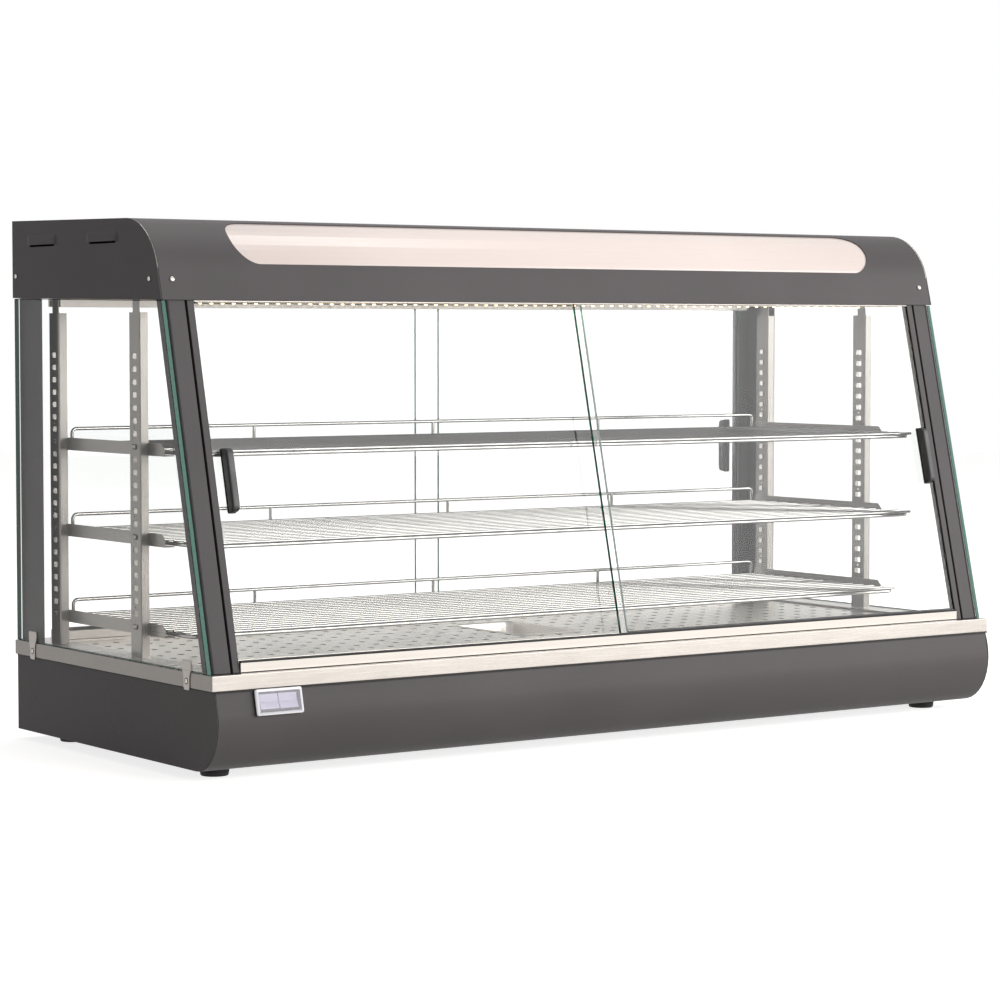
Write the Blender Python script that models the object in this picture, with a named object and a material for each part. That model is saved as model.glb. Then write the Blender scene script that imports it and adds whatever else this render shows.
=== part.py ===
"""Heated countertop display case with sliding glass doors at the front and at the rear.

The case stands on the floor plane, its width along X, its front towards -Y, in metres.
A heated base carries a perforated floor with a water tray. Four posts carry a canopy with
a lit sign window and a row of lamps. Three wire shelves rest on brackets that hook into
slotted uprights. Two glass doors slide past each other on each long side.
"""

import math

import bmesh
import bpy

# Clearances
FIT_GAP = 0.0003
PANE_PLAY = 0.0008
CUT_OVERRUN = 0.006

# Whole case
HALF_WIDTH = 0.6
RIM_REAR_Y = 0.254
RIM_FRONT_Y = -0.2476
RIM_TOP_Z = 0.1247
CEILING_Z = 0.553
BASE_REAR_INSET = 0.0015
BASE_REAR_Y = RIM_REAR_Y - BASE_REAR_INSET
SHEET = 0.0015

# Base housing and its rounded front
BASE_END_INSET = 0.0025
BASE_HALF_WIDTH = HALF_WIDTH - BASE_END_INSET
BASE_BOTTOM_Z = 0.0119
NOSE_OVERHANG = 0.0064
NOSE_FRONT_Y = RIM_FRONT_Y - NOSE_OVERHANG
NOSE_DROP = 0.0517
NOSE_FRONT_Z = RIM_TOP_Z - NOSE_DROP
NOSE_DEPTH = 0.049
NOSE_TOP_SETBACK = 0.007
NOSE_STEPS = 9

# Steel rim around the floor
RIM_HEIGHT = 0.0179
RIM_BOTTOM_Z = RIM_TOP_Z - RIM_HEIGHT
RIM_FLANGE = 0.046
RIM_LIP = 0.008
RIM_LIP_DROP = 0.0048
RIM_LIP_TOP_Z = RIM_TOP_Z - RIM_LIP_DROP

# Heated floor, water tray and heater
FLOOR_DROP = 0.0032
FLOOR_TOP_Z = RIM_TOP_Z - FLOOR_DROP
FLOOR_PLAY = 0.001
TRAY_CENTRE_X = 0.018
TRAY_CENTRE_Y = 0.033
TRAY_LENGTH_X = 0.105
TRAY_LENGTH_Y = 0.170
TRAY_FLANGE = 0.004
TRAY_SHEET = 0.001
TRAY_DEPTH = 0.0235
TRAY_BOTTOM_Z = FLOOR_TOP_Z - TRAY_DEPTH
HEATER_DROP = 0.0427
HEATER_Z = RIM_TOP_Z - HEATER_DROP
HEATER_RADIUS = 0.0042
HEATER_END_INSET = 0.2
HEATER_HALF_X = HALF_WIDTH - HEATER_END_INSET
HEATER_HALF_Y = 0.11
HEATER_PASSES = 4
HEATER_TAIL = 0.03
HEATER_LEG_INSET = 0.1
HEATER_LEG_X = HEATER_HALF_X - HEATER_LEG_INSET
HEATER_LEG_WIDTH = 0.012
HEATER_LEG_SHEET = 0.002
THERMOSTAT_INSET = 0.13
THERMOSTAT_X = THERMOSTAT_INSET - HALF_WIDTH
THERMOSTAT_Y = 0.060
THERMOSTAT_RADIUS = 0.016
THERMOSTAT_HEIGHT = 0.022
TERMINAL_INSET = 0.1
TERMINAL_X = HALF_WIDTH - TERMINAL_INSET
TERMINAL_Y = 0.150
TERMINAL_LENGTH_X = 0.026
TERMINAL_LENGTH_Y = 0.070
TERMINAL_HEIGHT = 0.022
TERMINAL_SLOTS = 4
TERMINAL_SLOT = 0.008
SLOT_MIDDLE_SHARE = 0.5

# Cable gland in the rear wall
GLAND_INSET = 0.15
GLAND_X = HALF_WIDTH - GLAND_INSET
GLAND_RISE = 0.0401
GLAND_Z = BASE_BOTTOM_Z + GLAND_RISE
GLAND_NECK_RADIUS = 0.0095
GLAND_HEAD_RADIUS = 0.013
GLAND_BORE_RADIUS = 0.0045
GLAND_INSIDE = 0.012

# Switch pack on the rounded front, in its own tilted frame
SWITCH_INSET = 0.08325
SWITCH_X = SWITCH_INSET - HALF_WIDTH
SWITCH_SETBACK = 0.00345
SWITCH_Y = NOSE_FRONT_Y + SWITCH_SETBACK
SWITCH_RISE = 0.018
SWITCH_Z = NOSE_FRONT_Z + SWITCH_RISE
SWITCH_LEAN = math.radians(12.6)
SWITCH_HALF_X = 0.0305
SWITCH_HALF_Z = 0.015
SWITCH_SEAT = 0.0018
SWITCH_FLANGE = 0.0012
SWITCH_BODY_HALF_X = 0.0265
SWITCH_BODY_HALF_Z = 0.0122
SWITCH_BODY_DEPTH = 0.024
SWITCH_WELL_HALF_X = 0.0255
SWITCH_WELL_HALF_Z = 0.0112
SWITCH_WELL_DEPTH = 0.0095
COVER_REACH = 0.0046
COVER_WALL = 0.0009
COVER_BEVEL = 0.0022
ROCKER_PLAY = 0.0005
ROCKER_HALF_Z = 0.0090
ROCKER_PIVOT = 0.0030
ROCKER_FRONT = 0.0070
ROCKER_DISH = 0.0015
ROCKER_BACK_HALF_Z = 0.0050
ROCKER_BACK = 0.0045
ROCKER_TILT = math.radians(7)

# Feet
FOOT_INSET = 0.047
FOOT_X = HALF_WIDTH - FOOT_INSET
FOOT_FRONT_INSET = 0.0786
FOOT_FRONT_Y = RIM_FRONT_Y + FOOT_FRONT_INSET
FOOT_REAR_INSET = 0.066
FOOT_REAR_Y = RIM_REAR_Y - FOOT_REAR_INSET
FOOT_TOP_RADIUS = 0.019
FOOT_SOLE_RADIUS = 0.016
FOOT_SIDES = 28

# Leaning front plane that posts, glass and doors share
LEAN_TOP_DROP = 0.0046
LEAN_TOP_Z = CEILING_Z - LEAN_TOP_DROP
LEAN = math.radians(13.66)
LEAN_FOOT_INSET = 0.01333
LEAN_TOP_Y = (RIM_FRONT_Y + LEAN_FOOT_INSET
              + (LEAN_TOP_Z - RIM_TOP_Z) * math.tan(LEAN))

# Posts
POST_TOP_Z = CEILING_Z - FIT_GAP
POST_OUTER_INSET = 0.008
POST_OUTER_X = HALF_WIDTH - POST_OUTER_INSET
POST_FACE_INSET = 0.032
POST_FACE_INNER_X = HALF_WIDTH - POST_FACE_INSET
POST_GROOVE_INSET = 0.035
POST_GROOVE_INNER_X = HALF_WIDTH - POST_GROOVE_INSET
POST_GROOVE_DEPTH = 0.007
POST_FACE_DEPTH = 0.023
JAMB_INSET = 0.044
JAMB_INNER_X = HALF_WIDTH - JAMB_INSET
JAMB_CHANNEL_INSET = 0.0365
JAMB_CHANNEL_X = HALF_WIDTH - JAMB_CHANNEL_INSET
JAMB_SETBACK = 0.0
JAMB_DEPTH = 0.0275
JAMB_LIP = 0.0015
REAR_POST_FRONT_INSET = 0.0645
REAR_POST_FRONT_Y = RIM_REAR_Y - REAR_POST_FRONT_INSET
REAR_POST_REAR_INSET = 0.004
REAR_POST_REAR_Y = RIM_REAR_Y - REAR_POST_REAR_INSET
REAR_POST_INSET = 0.038
REAR_POST_INNER_X = HALF_WIDTH - REAR_POST_INSET
REAR_POST_SHEET = 0.0016

# Fixed side glass and its clips
SIDE_GLASS_INSET = 0.001
SIDE_GLASS_OUTER_X = HALF_WIDTH - SIDE_GLASS_INSET
SIDE_GLASS_THICKNESS = 0.006
SIDE_GLASS_REAR_INSET = 0.004
SIDE_GLASS_REAR_Y = RIM_REAR_Y - SIDE_GLASS_REAR_INSET
SIDE_GLASS_FRONT_DROP = 0.0052
SIDE_GLASS_TOP_FRONT_Z = CEILING_Z - SIDE_GLASS_FRONT_DROP
SIDE_GLASS_TOP_REAR_Z = CEILING_Z + FIT_GAP
CLIP_LENGTH = 0.022
CLIP_THICKNESS = 0.0015
CLIP_DROP = 0.0207
CLIP_BOTTOM_Z = RIM_TOP_Z - CLIP_DROP
CLIP_RISE = 0.0143
CLIP_TOP_Z = RIM_TOP_Z + CLIP_RISE
CLIP_REAR_INSET = 0.0505
CLIP_REAR_Y = RIM_REAR_Y - CLIP_REAR_INSET
CLIP_FRONT_INSET = 0.0576
CLIP_FRONT_Y = RIM_FRONT_Y + CLIP_FRONT_INSET

# Canopy profile: leaning front, bend, roof sloping to the front, straight back
CANOPY_OVERHANG = 0.0024
CANOPY_FRONT_Y = LEAN_TOP_Y - CANOPY_OVERHANG
CANOPY_FRONT_DROP = 0.0042
CANOPY_FRONT_Z = CEILING_Z - CANOPY_FRONT_DROP
BEND_SETBACK = 0.0865
BEND_CENTRE_Y = CANOPY_FRONT_Y + BEND_SETBACK
BEND_RISE = 0.0124
BEND_CENTRE_Z = CEILING_Z + BEND_RISE
BEND_RADIUS = 0.0794
BEND_START = math.radians(75.15)
BEND_END = math.radians(1.0)
BEND_STEPS = 12
CANOPY_REAR_INSET = 0.0015
CANOPY_REAR_Y = RIM_REAR_Y - CANOPY_REAR_INSET
CANOPY_HEIGHT = 0.097
CANOPY_TOP_Z = CEILING_Z + CANOPY_HEIGHT
CANOPY_REAR_LIFT = 0.001
CANOPY_REAR_Z = CEILING_Z + CANOPY_REAR_LIFT
CANOPY_SHEET = 0.0012

# Sign window and diffuser
WINDOW_LEFT_INSET = 0.108
WINDOW_LEFT_X = WINDOW_LEFT_INSET - HALF_WIDTH
WINDOW_RIGHT_INSET = 0.098
WINDOW_RIGHT_X = HALF_WIDTH - WINDOW_RIGHT_INSET
WINDOW_LEAN = math.radians(51.93)
WINDOW_BELOW = 0.043
WINDOW_ABOVE = 0.0285
WINDOW_RADIUS = 0.033
WINDOW_CORNER_STEPS = 6
WINDOW_CUT_START = 0.050
WINDOW_CUT_END = 0.110
DIFFUSER_SHEET = 0.003
DIFFUSER_MARGIN_X = 0.009
DIFFUSER_START = math.radians(74.5)
DIFFUSER_END = math.radians(4.0)

# Canopy vents, ceiling, lamps and driver
VENT_REAR_INSET = 0.083
VENT_REAR_Y = CANOPY_REAR_Y - VENT_REAR_INSET
VENT_SPACING = 0.159
VENT_FRONT_Y = VENT_REAR_Y - VENT_SPACING
VENT_LENGTH = 0.066
VENT_HEIGHT = 0.0025
VENT_DROP = 0.0335
VENT_Z = CANOPY_TOP_Z - VENT_DROP
CEILING_END_INSET = 0.0075
CEILING_HALF_X = HALF_WIDTH - CEILING_END_INSET
CEILING_FRONT_INSET = 0.0018
CEILING_FRONT_Y = LEAN_TOP_Y + CEILING_FRONT_INSET
CEILING_REAR_INSET = 0.0035
CEILING_REAR_Y = RIM_REAR_Y - CEILING_REAR_INSET
CEILING_SHEET = 0.0008
LAMP_END_INSET = 0.052
LAMP_HALF_X = HALF_WIDTH - LAMP_END_INSET
LAMP_NEAR_DEPTH = 0.0083
LAMP_FAR_DEPTH = 0.0183
LAMP_BOTTOM_Z = 0.0015
DRIVER_X = 0.200
DRIVER_Y = 0.150
DRIVER_LENGTH_X = 0.150
DRIVER_LENGTH_Y = 0.045
DRIVER_HEIGHT = 0.030
DRIVER_EAR = 0.012
DRIVER_EAR_HEIGHT = 0.003

# Tracks
TRACK_END_INSET = 0.0445
TRACK_HALF_X = HALF_WIDTH - TRACK_END_INSET
FRONT_TRACK_INSET = 0.0126
FRONT_TRACK_Y = RIM_FRONT_Y + FRONT_TRACK_INSET
FRONT_TRACK_WIDTH = 0.033
FRONT_TRACK_REAR_Y = FRONT_TRACK_Y + FRONT_TRACK_WIDTH
TRACK_RISE = 0.0113
TRACK_TOP_Z = RIM_TOP_Z + TRACK_RISE
TRACK_GROOVE_RISE = 0.0028
TRACK_GROOVE_Z = RIM_TOP_Z + TRACK_GROOVE_RISE
FRONT_HEAD_HEIGHT = 0.0062
FRONT_HEAD_BOTTOM_Z = CEILING_Z - FRONT_HEAD_HEIGHT
FRONT_HEAD_NEAR_DEPTH = 0.0002
FRONT_HEAD_FAR_DEPTH = 0.0275
REAR_TRACK_INSET = 0.045
REAR_TRACK_Y = RIM_REAR_Y - REAR_TRACK_INSET
REAR_TRACK_WIDTH = 0.034
REAR_TRACK_REAR_Y = REAR_TRACK_Y + REAR_TRACK_WIDTH
REAR_HEAD_HEIGHT = 0.01
REAR_HEAD_BOTTOM_Z = CEILING_Z - REAR_HEAD_HEIGHT

# Doors
PANE = 0.004
OUTER_DEPTH = 0.002
INNER_DEPTH = 0.0209
PANE_END_INSET = 0.0385
PANE_END_X = HALF_WIDTH - PANE_END_INSET
FRONT_LEFT_PANE_EDGE_X = 0.018
FRONT_RIGHT_PANE_EDGE_X = -0.0085
PANE_LIFT = 0.001
PANE_BOTTOM_Z = TRACK_GROOVE_Z + PANE_LIFT
FRONT_PANE_DROP = 0.002
FRONT_PANE_TOP_Z = CEILING_Z - FRONT_PANE_DROP
REAR_PANE_DROP = 0.003
REAR_PANE_TOP_Z = CEILING_Z - REAR_PANE_DROP
REAR_OUTER_SETBACK = 0.025
REAR_OUTER_Y = REAR_TRACK_Y + REAR_OUTER_SETBACK
REAR_INNER_SETBACK = 0.006
REAR_INNER_Y = REAR_TRACK_Y + REAR_INNER_SETBACK
REAR_LEFT_PANE_EDGE_X = 0.018
REAR_RIGHT_PANE_EDGE_X = -0.008

# Door pulls
PULL_WIDTH = 0.0115
PULL_REACH = 0.014
PULL_BOTTOM_Z = 0.3065
PULL_TOP_Z = 0.3835
PULL_BEVEL = 0.0025
FRONT_LEFT_PULL_INSET = 0.027
FRONT_LEFT_PULL_X = FRONT_LEFT_PULL_INSET - PANE_END_X
FRONT_RIGHT_PULL_INSET = 0.024
FRONT_RIGHT_PULL_X = PANE_END_X - FRONT_RIGHT_PULL_INSET
REAR_LEFT_PULL_INSET = 0.0085
REAR_LEFT_PULL_X = REAR_LEFT_PULL_INSET - PANE_END_X
REAR_RIGHT_PULL_INSET = 0.025
REAR_RIGHT_PULL_X = PANE_END_X - REAR_RIGHT_PULL_INSET

# Slotted uprights
UPRIGHT_WEB_INSET = 0.0348
UPRIGHT_WEB_X = HALF_WIDTH - UPRIGHT_WEB_INSET
UPRIGHT_TIP_INSET = 0.0233
UPRIGHT_TIP_X = HALF_WIDTH - UPRIGHT_TIP_INSET
UPRIGHT_SHEET = 0.0012
UPRIGHT_HALF_Y = 0.013
UPRIGHT_REAR_INSET = 0.068
UPRIGHT_REAR_Y = RIM_REAR_Y - UPRIGHT_REAR_INSET
UPRIGHT_FRONT_INSET = 0.2236
UPRIGHT_FRONT_Y = RIM_FRONT_Y + UPRIGHT_FRONT_INSET
UPRIGHT_TOP_DROP = 0.018
UPRIGHT_TOP_Z = CEILING_Z - UPRIGHT_TOP_DROP
TONGUE_REAR_SETBACK = 0.010
SLOT_TOP_DROP = 0.052
SLOT_TOP_Z = UPRIGHT_TOP_Z - SLOT_TOP_DROP
SLOT_COUNT = 22
SLOT_BOTTOM_RISE = 0.037
SLOT_PITCH = (SLOT_TOP_Z - RIM_TOP_Z - SLOT_BOTTOM_RISE) / (SLOT_COUNT - 1)
SLOT_LENGTH_Y = 0.011
SLOT_HEIGHT = 0.0065
SLOTS_PER_SHELF = 7

# Shelf brackets
BRACKET_SHEET = 0.0012
BRACKET_FLANGE = 0.014
BRACKET_HEIGHT = 0.0155
BRACKET_PAST_UPRIGHT = 0.013
BRACKET_REAR_Y = UPRIGHT_REAR_Y + BRACKET_PAST_UPRIGHT
BRACKET_REACH = 0.05
BRACKET_FRONT_Y = UPRIGHT_FRONT_Y - BRACKET_REACH
BRACKET_NOSE = 0.007
BRACKET_BELOW_SLOT = 0.0105
HOOK_REACH = 0.0035
FAR_HOOK_REACH = 0.0018
HOOK_LENGTH_Y = 0.008
HOOK_HEIGHT = 0.0042

# Wire shelves
SHELF_END_INSET = 0.047
SHELF_HALF_X = HALF_WIDTH - SHELF_END_INSET
SHELF_OVERHANG = 0.0728
SHELF_FRONT_Y = BRACKET_FRONT_Y - SHELF_OVERHANG
BOTTOM_SHELF_SETBACK = 0.03
SHELF_REAR_INSET = 0.006
SHELF_REAR_Y = BRACKET_REAR_Y - SHELF_REAR_INSET
FRAME_WIRE = 0.005
DECK_WIRE = 0.0038
WELD_DEPTH = 0.0006
DECK_WIRES = 15
POST_WIRE = 0.0045
RAIL_RISE = 0.0215
RAIL_POST_X = 0.279
RAIL_END_INSET = 0.003
TOP_SHELF_SHIFT = -0.009
MIDDLE_SHELF_SHIFT = 0.015


# Materials

def material(name, colour, roughness, metallic, alpha=1.0):
    """A Principled material with a colour, a roughness and a metal share."""
    made = bpy.data.materials.new(name)
    made.use_nodes = True
    shader = made.node_tree.nodes["Principled BSDF"]
    shader.inputs["Base Color"].default_value = (*colour, 1.0)
    shader.inputs["Roughness"].default_value = roughness
    shader.inputs["Metallic"].default_value = metallic
    shader.inputs["Alpha"].default_value = alpha
    made.diffuse_color = (*colour, alpha)
    return made


# Mesh helpers

def solid(name, points, faces, look, origin=(0.0, 0.0, 0.0), turn=(0.0, 0.0, 0.0)):
    """An object from points in its own frame, its faces turned outwards."""
    mesh = bpy.data.meshes.new(name)
    mesh.from_pydata(points, [], faces)
    work = bmesh.new()
    work.from_mesh(mesh)
    bmesh.ops.recalc_face_normals(work, faces=work.faces)
    work.to_mesh(mesh)
    work.free()
    mesh.materials.append(look)
    made = bpy.data.objects.new(name, mesh)
    made.location = origin
    made.rotation_euler = turn
    bpy.context.scene.collection.objects.link(made)
    return made


def loft(rings):
    """Points and faces of a closed solid that passes through equal rings of points."""
    size = len(rings[0])
    points = [point for ring in rings for point in ring]
    faces = []
    for step in range(len(rings) - 1):
        low = step * size
        for side in range(size):
            after = (side + 1) % size
            faces.append((low + side, low + after, low + size + after, low + size + side))
    last = (len(rings) - 1) * size
    faces.append(tuple(range(size - 1, -1, -1)))
    faces.append(tuple(range(last, last + size)))
    return points, faces


def along_x(outline, low, high):
    """Rings of a prism whose (y, z) outline runs along X."""
    return [[(x, y, z) for y, z in outline] for x in (low, high)]


def along_y(outline, low, high):
    """Rings of a prism whose (x, z) outline runs along Y."""
    return [[(x, y, z) for x, z in outline] for y in (low, high)]


def along_z(outline, low, high):
    """Rings of a prism whose (x, y) outline runs along Z."""
    return [[(x, y, z) for x, y in outline] for z in (low, high)]


def rectangle(low, high):
    """The four corners between two opposite ones."""
    return [(low[0], low[1]), (high[0], low[1]), (high[0], high[1]), (low[0], high[1])]


def prism(name, rings, look, **place):
    """A solid between two or more rings of points."""
    points, faces = loft(rings)
    return solid(name, points, faces, look, **place)


def box(name, low, high, look, **place):
    """A solid with flat sides between two opposite corners."""
    rings = along_z(rectangle(low[:2], high[:2]), low[2], high[2])
    return prism(name, rings, look, **place)


def boxes(name, corners, look, **place):
    """Several separate boxes in one mesh, for cutting or joining."""
    points = []
    faces = []
    for low, high in corners:
        more_points, more_faces = loft(along_z(rectangle(low[:2], high[:2]), low[2], high[2]))
        faces += [tuple(len(points) + index for index in face) for face in more_faces]
        points += more_points
    return solid(name, points, faces, look, **place)


def circle(radius, sides, centre=(0.0, 0.0)):
    """Points around a circle."""
    turns = [2 * math.pi * side / sides for side in range(sides)]
    return [(centre[0] + radius * math.cos(a), centre[1] + radius * math.sin(a)) for a in turns]


def combine(target, helper, operation):
    """Cut or join a helper with a target, and keep the helper out of the case."""
    helper.hide_render = True
    helper.display_type = "WIRE"
    modifier = target.modifiers.new(operation.lower(), "BOOLEAN")
    modifier.operation = operation
    modifier.solver = "EXACT"
    modifier.object = helper
    return target


def bevel(target, width, segments=2):
    """Round the edges of a solid."""
    modifier = target.modifiers.new("edges", "BEVEL")
    modifier.width = width
    modifier.segments = segments
    modifier.limit_method = "ANGLE"
    return target


def smooth(target):
    """Shade round faces smooth and keep the corners sharp."""
    target.data.shade_smooth()
    target.data.set_sharp_from_angle(angle=math.radians(35))
    return target


def sided(side, outline):
    """An outline drawn for the right side, mirrored in X for the left one."""
    return [(side * x, other) for x, other in outline]


# Shapes that several pieces share

def lean_y(depth, z):
    """Y of the leaning front plane at a height, a depth in from its face."""
    return LEAN_TOP_Y - (LEAN_TOP_Z - z) * math.tan(LEAN) + depth / math.cos(LEAN)


def nose_y(z):
    """Y of the rounded base front at a height."""
    drop = (NOSE_FRONT_Z - z) / (NOSE_FRONT_Z - BASE_BOTTOM_Z)
    if drop > 0:
        return NOSE_FRONT_Y + NOSE_DEPTH * (1 - math.sqrt(max(0.0, 1 - drop * drop)))
    rise = (z - NOSE_FRONT_Z) / (RIM_BOTTOM_Z - NOSE_FRONT_Z)
    return NOSE_FRONT_Y + NOSE_TOP_SETBACK * rise * rise


def nose_line(inset):
    """The rounded front from its foot to its top, moved in by a sheet's thickness."""
    line = []
    for step in range(NOSE_STEPS + 1):
        turn = math.pi / 2 * step / NOSE_STEPS
        y = NOSE_FRONT_Y + NOSE_DEPTH - (NOSE_DEPTH - inset) * math.sin(turn)
        z = NOSE_FRONT_Z - (NOSE_FRONT_Z - BASE_BOTTOM_Z - inset) * math.cos(turn)
        line.append((y, z))
    top = RIM_BOTTOM_Z - FIT_GAP
    for step in range(1, 5):
        z = NOSE_FRONT_Z + (top - NOSE_FRONT_Z) * step / 4
        line.append((nose_y(z) + inset, z))
    return line


def canopy_line(inset):
    """The canopy's front, bend, roof and back, moved in by an inset."""
    lean = math.pi / 2 - BEND_START
    line = [(CANOPY_FRONT_Y + inset / math.cos(lean), CANOPY_FRONT_Z)]
    for step in range(BEND_STEPS + 1):
        turn = BEND_START + (BEND_END - BEND_START) * step / BEND_STEPS
        radius = BEND_RADIUS - inset
        y = BEND_CENTRE_Y - radius * math.sin(turn)
        z = BEND_CENTRE_Z + radius * math.cos(turn)
        line.append((y, z))
    line.append((CANOPY_REAR_Y - inset, CANOPY_TOP_Z - inset))
    line.append((CANOPY_REAR_Y - inset, CANOPY_REAR_Z))
    return line


# Base

def build_base(steel, painted):
    """Folded tub with rounded end plates, the curved front sheet and the steel rim."""
    top = RIM_BOTTOM_Z - FIT_GAP
    side_profile = nose_line(0.0) + [(BASE_REAR_Y, top), (BASE_REAR_Y, BASE_BOTTOM_Z)]
    housing = prism("base_housing", along_x(side_profile, -BASE_HALF_WIDTH, BASE_HALF_WIDTH), painted)
    inside = BASE_HALF_WIDTH - SHEET
    room = box("base_room", (-inside, NOSE_FRONT_Y - CUT_OVERRUN, BASE_BOTTOM_Z + SHEET),
               (inside, BASE_REAR_Y - SHEET, top + CUT_OVERRUN), painted)
    combine(housing, room, "DIFFERENCE")
    front_room = box("base_front_room", (-inside, NOSE_FRONT_Y - CUT_OVERRUN, BASE_BOTTOM_Z - CUT_OVERRUN),
                     (inside, NOSE_FRONT_Y + NOSE_DEPTH, top + CUT_OVERRUN), painted)
    combine(housing, front_room, "DIFFERENCE")
    gland_hole = prism("gland_hole", along_y(circle(GLAND_NECK_RADIUS + FIT_GAP, 24, (GLAND_X, GLAND_Z)),
                                             BASE_REAR_Y - SHEET - CUT_OVERRUN,
                                             BASE_REAR_Y + CUT_OVERRUN), painted)
    combine(housing, gland_hole, "DIFFERENCE")

    outer = nose_line(0.0)
    inner = nose_line(SHEET)
    outer[0] = (outer[0][0] - FIT_GAP, outer[0][1])
    inner[0] = (inner[0][0] - FIT_GAP, inner[0][1])
    half = inside - FIT_GAP
    fascia = prism("base_fascia", along_x(outer + inner[::-1], -half, half), painted)
    hole_x = SWITCH_BODY_HALF_X + FIT_GAP
    hole_z = SWITCH_BODY_HALF_Z + FIT_GAP
    hole = box("switch_hole", (-hole_x, -SWITCH_BODY_DEPTH, -hole_z), (hole_x, SWITCH_BODY_DEPTH, hole_z),
               painted, origin=(SWITCH_X, SWITCH_Y, SWITCH_Z), turn=(-SWITCH_LEAN, 0.0, 0.0))
    combine(fascia, hole, "DIFFERENCE")
    smooth(fascia)

    build_rim(steel)


def build_rim(steel):
    """Folded steel frame: outer skirt, flat top and an inner lip that carries the floor."""
    inner = RIM_FLANGE
    profile = [
        (0.0, RIM_BOTTOM_Z),
        (0.0, RIM_TOP_Z),
        (inner, RIM_TOP_Z),
        (inner, RIM_LIP_TOP_Z),
        (inner + RIM_LIP, RIM_LIP_TOP_Z),
        (inner + RIM_LIP, RIM_LIP_TOP_Z - SHEET),
        (inner - SHEET, RIM_LIP_TOP_Z - SHEET),
        (inner - SHEET, RIM_TOP_Z - SHEET),
        (SHEET, RIM_TOP_Z - SHEET),
        (SHEET, RIM_BOTTOM_Z),
    ]
    points = []
    for inset, z in profile:
        low = (-HALF_WIDTH + inset, RIM_FRONT_Y + inset)
        high = (HALF_WIDTH - inset, RIM_REAR_Y - inset)
        points += [(x, y, z) for x, y in rectangle(low, high)]
    faces = []
    for row in range(len(profile)):
        after = (row + 1) % len(profile)
        for corner in range(4):
            turned = (corner + 1) % 4
            faces.append((row * 4 + corner, row * 4 + turned, after * 4 + turned, after * 4 + corner))
    return solid("rim", points, faces, steel)


def build_floor(steel):
    """Heated floor plate with a cut-out, and the water tray that hangs in it."""
    inset = RIM_FLANGE + FLOOR_PLAY
    bottom = RIM_LIP_TOP_Z + FIT_GAP
    floor = box("heated_floor", (-HALF_WIDTH + inset, RIM_FRONT_Y + inset, bottom),
                (HALF_WIDTH - inset, RIM_REAR_Y - inset, FLOOR_TOP_Z), steel)
    half_x = TRAY_LENGTH_X / 2
    half_y = TRAY_LENGTH_Y / 2
    hole = box("tray_hole",
               (TRAY_CENTRE_X - half_x + TRAY_FLANGE, TRAY_CENTRE_Y - half_y + TRAY_FLANGE,
                bottom - CUT_OVERRUN),
               (TRAY_CENTRE_X + half_x - TRAY_FLANGE, TRAY_CENTRE_Y + half_y - TRAY_FLANGE,
                FLOOR_TOP_Z + CUT_OVERRUN), steel)
    combine(floor, hole, "DIFFERENCE")

    inset = TRAY_FLANGE + FLOOR_PLAY
    flange_z = FLOOR_TOP_Z + FIT_GAP
    rings = [
        (inset, TRAY_BOTTOM_Z),
        (inset, flange_z),
        (0.0, flange_z),
        (0.0, flange_z + TRAY_SHEET),
        (inset + TRAY_SHEET, flange_z + TRAY_SHEET),
        (inset + TRAY_SHEET, TRAY_BOTTOM_Z + TRAY_SHEET),
    ]
    tray_rings = []
    for inset, z in rings:
        low = (-half_x + inset, -half_y + inset)
        high = (half_x - inset, half_y - inset)
        tray_rings.append([(x, y, z) for x, y in rectangle(low, high)])
    return prism("water_tray", tray_rings, steel, origin=(TRAY_CENTRE_X, TRAY_CENTRE_Y, 0.0))


def heater_path():
    """Centre line of the heating rod: parallel runs along X joined by half turns."""
    pitch = 2 * HEATER_HALF_Y / (HEATER_PASSES - 1)
    bend = pitch / 2
    path = [(HEATER_HALF_X + HEATER_TAIL, -HEATER_HALF_Y)]
    for run in range(HEATER_PASSES):
        y = -HEATER_HALF_Y + run * pitch
        way = -1 if run % 2 == 0 else 1
        path.append((-way * HEATER_HALF_X, y))
        path.append((way * HEATER_HALF_X, y))
        if run == HEATER_PASSES - 1:
            break
        for step in range(1, 8):
            turn = math.pi * step / 8
            path.append((way * (HEATER_HALF_X + bend * math.sin(turn)), y + bend * (1 - math.cos(turn))))
    path.append((HEATER_HALF_X + HEATER_TAIL, HEATER_HALF_Y))
    return path


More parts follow.
